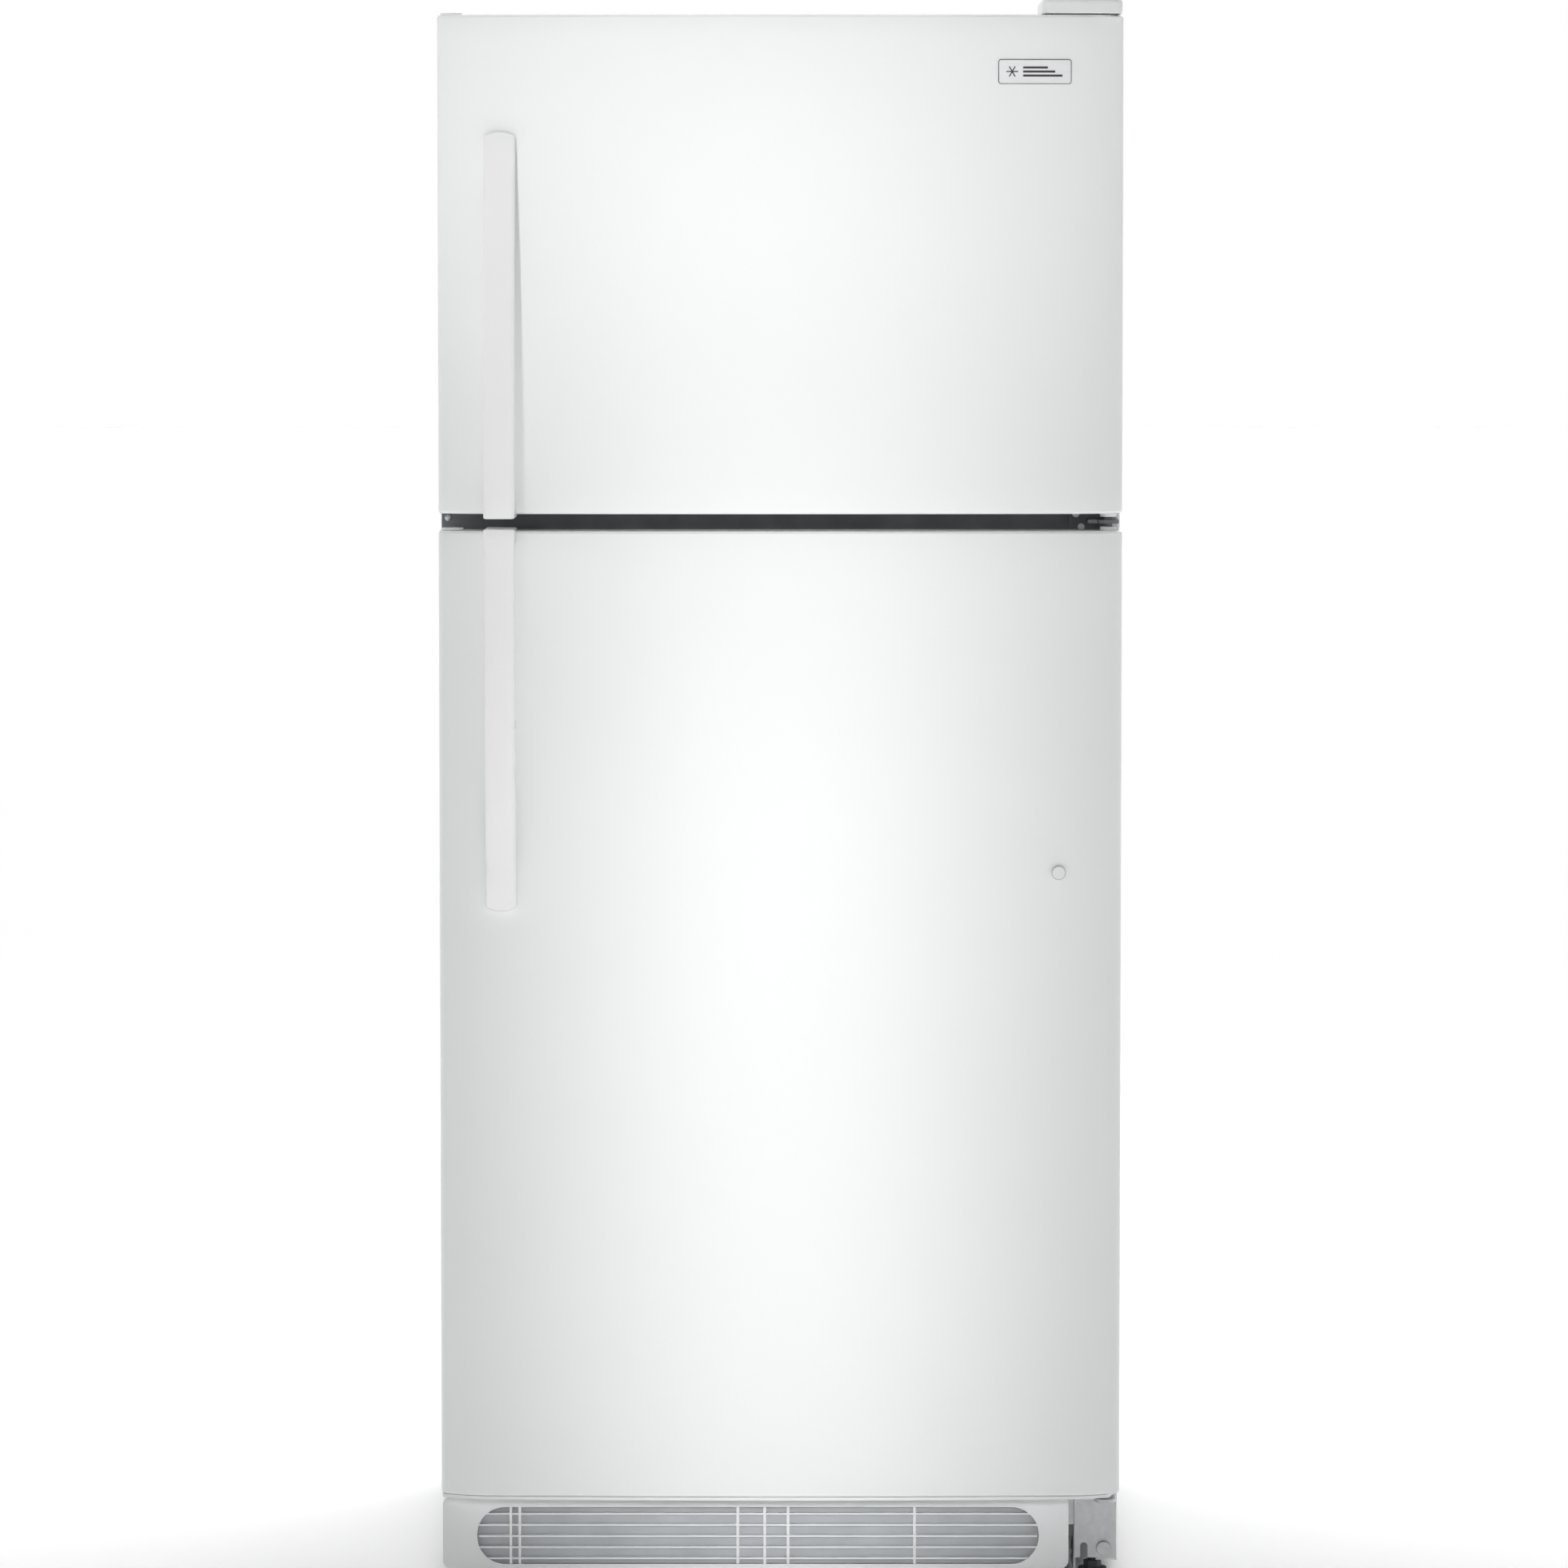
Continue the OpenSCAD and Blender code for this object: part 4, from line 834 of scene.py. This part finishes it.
# Gasket section of (inset, y): a foot, a folded bellows and the magnet's pouch against the cabinet.
gasket = {"corner": 9, "section": [(2, 0), (15, 0), (15, 1.2), (12.6, 1.8), (14.8, 3.2), (12.6, 4.6),
                                   (14.6, 5.6), (16.4, 5.9), (17, 6.6), (17, 8.4), (16.2, 9.1), (0.8, 9.1),
                                   (0, 8.4), (0, 6.6), (0.6, 5.9), (4.2, 5.2), (2, 3.8), (4.2, 2.4),
                                   (2, 1.2)]}
for node, name in (("freezer_door_gasket", "freezerGasket"), ("fridge_door_gasket", "fridgeGasket")):
    gx, gy, gz = limits(node)
    stretch = (gy[1] - gy[0]) / max(level for _, level in gasket["section"])
    section = [(i, gy[0] + level * stretch) for i, level in gasket["section"]]
    addPiece(name, bandShape(gx, gz, gasket["corner"], section), node, smooth=50)


# The door bins, and the dairy compartment with the ears and pins that its lid turns on.
def doorBins(b):
    x, y, _ = limits("freezer_door_bins")

    def tray(low, tall):
        return trayShape(x, y, (low, low + tall), b["wall"], b["corner"])

    addPiece("freezerBins", join(*[tray(low, b["freezerTall"]) for low in b["freezer"]]),
             "freezer_door_bins")
    parts = [tray(low, b["fridgeTall"]) for low in b["fridge"]] + [tray(b["dairy"], b["dairyTall"])]
    for side in (-1, 1):
        ear = sorted((side * (x[1] - b["wall"]), side * x[1]))
        low = b["earTop"] - b["earDrop"]
        parts.append(softBlock(ear, (y[0] + 2, y[1] - 8), (b["dairy"] + 14, b["earTop"]), 0.8, 1.4))
        parts.append(softBlock(ear, (y[1] - 9, y[1] + 8), (low, b["earTop"]), 0.8, 1.4))
        start = side * (x[1] - 2) - (9 if side > 0 else 0)
        parts.append(turned([(0.1, 0), (2.9, 0), (2.9, 8.4), (2.3, 9), (0.1, 9)],
                            (start, y[1] + 2, b["pinZ"]), "x", 24))
    addPiece("fridgeBins", join(*parts), "fridge_door_bins")


doorBins(bins)

lip = {"reach": 14.0, "drop": 14.0, "wall": 3.0, "nose": 3.0}
drawers = {"crisperX": (3, 324), "crisperY": (-125, 119), "crisperZ": (156.5, 380),
           "deliX": (-300, -12), "deliY": (-130, 196), "deliZ": (430, 538),
           "railX": ((-308, -299), (-13, -4)), "railTall": 4}


# A drawer: a tray with a lip along its front, whose (y, z) section is a top plate and a rounded edge that
# fingers reach behind, and a small block that closes the lip at each end.
def drawerPiece(node, name, x, y, z, extras=()):
    front = y[0] - lip["reach"]
    n, w = lip["nose"], lip["wall"]
    nose = [(front + inset, z[1] - rise) for inset, rise in quarterRound(n)]
    outline = nose + [(front, z[1] - lip["drop"] + 1), (front + 1, z[1] - lip["drop"]),
                      (front + w - 1, z[1] - lip["drop"]), (front + w, z[1] - lip["drop"] + 1),
                      (front + w, z[1] - w - 1.5), (front + w + 1.5, z[1] - w), (y[0] + 1, z[1] - w),
                      (y[0] + 1, z[1])]
    ends = [softBlock(sorted((side, side + step)), (front + 0.6, y[0] + 1),
                      (z[1] - lip["drop"] + 0.6, z[1] - 0.6), 0.8, 1.4)
            for side, step in ((x[0] + 0.2, w), (x[1] - 0.2, -w))]
    return addPiece(name, join(trayShape(x, y, z, w, 9, 5), prism(outline, x, 0.6), *ends, *extras), node)


low, high = drawers["crisperX"]
drawerPiece("crisper_left", "crisperLeft", (-high, -low), drawers["crisperY"], drawers["crisperZ"])
drawerPiece("crisper_right", "crisperRight", (low, high), drawers["crisperY"], drawers["crisperZ"])
deliTop = drawers["deliZ"][1]
rails = [softBlock(x, drawers["deliY"], (deliTop - drawers["railTall"], deliTop), 1, 1.5)
         for x in drawers["railX"]]
drawerPiece("deli_drawer", "deliDrawer", drawers["deliX"], drawers["deliY"], drawers["deliZ"], rails)

# pieces that keep the CAD shape with rounded edges, with the width of their rounds in millimetres
for node, width in {"shelf_frames": 1.4, "shelf_glass": 0.7, "control_housing": 1.2, "temperature_knob": 0.8,
                    "interior_light": 0.6, "light_switch_plunger": 0.8, "humidity_slide_left": 0.8,
                    "humidity_slide_right": 0.8, "dairy_lid": 0.8, "evaporator_cover": 0.7,
                    "evaporator_fan_blade": 0.5, "evaporator_fan_motor": 0.8, "compressor": 1.2,
                    "compressor_mounts": 1.5, "condenser_fan_blade": 0.5, "condenser_fan_motor": 0.6,
                    "drain_pan": 0.9, "freezer_shelf": 0, "evaporator_coil": 0, "condenser_coil": 0,
                    "refrigerant_lines": 0, "defrost_heater": 0}.items():
    roundedCopy(node, width, 2)

dial = {"x": -70.0, "y": -60.0, "z": 1120.0, "ticks": 9, "first": 225, "step": 33.75,
        "inner": 22.5, "outer": 25, "growth": 0.5, "half": 0.6, "depth": 0.2, "proud": 0.25}


# Tick marks round the dial, growing longer clockwise.
def dialTicks(c):
    ticks = []
    for k in range(c["ticks"]):
        turn = math.radians(c["first"] - c["step"] * k)
        out = np.array([math.cos(turn), math.sin(turn)])
        across = np.array([-out[1], out[0]]) * c["half"]
        inner, outer = out * c["inner"], out * (c["outer"] + c["growth"] * k)
        flat = np.array([inner - across, outer - across, outer + across, inner + across]) + (c["x"], c["z"])
        foot, face = (np.column_stack((flat[:, 0], np.full(4, level), flat[:, 1]))
                      for level in (c["y"] + c["depth"], c["y"] - c["proud"]))
        ticks.append(thinBlock(foot, face))
    addPiece("dialTicks", join(*ticks), slot="grey_plastic", body="cabinet")


dialTicks(dial)

# the toe grille's screen, behind its louvres
screen = {"left": 30, "right": 25, "behind": 10, "thick": 2, "margin": 4}
gx, gy, gz = limits("toe_grille")
screenY = gy[0] + screen["behind"]
addPiece("grilleScreen", softBlock((gx[0] + screen["left"], gx[1] - screen["right"]),
                                   (screenY, screenY + screen["thick"]),
                                   (gz[0] + screen["margin"], gz[1] - screen["margin"]), 0.6, 0.9),
         slot="grey_plastic", body="cabinet")
print("compartments and fittings built")

# what is left keeps its CAD shape
for node, obj in nodes.items():
    if not obj.material_slots:
        obj.data.materials.append(None)
    for holder in obj.material_slots:
        holder.link = "OBJECT"
        holder.material = finishes[slotOf[node]]
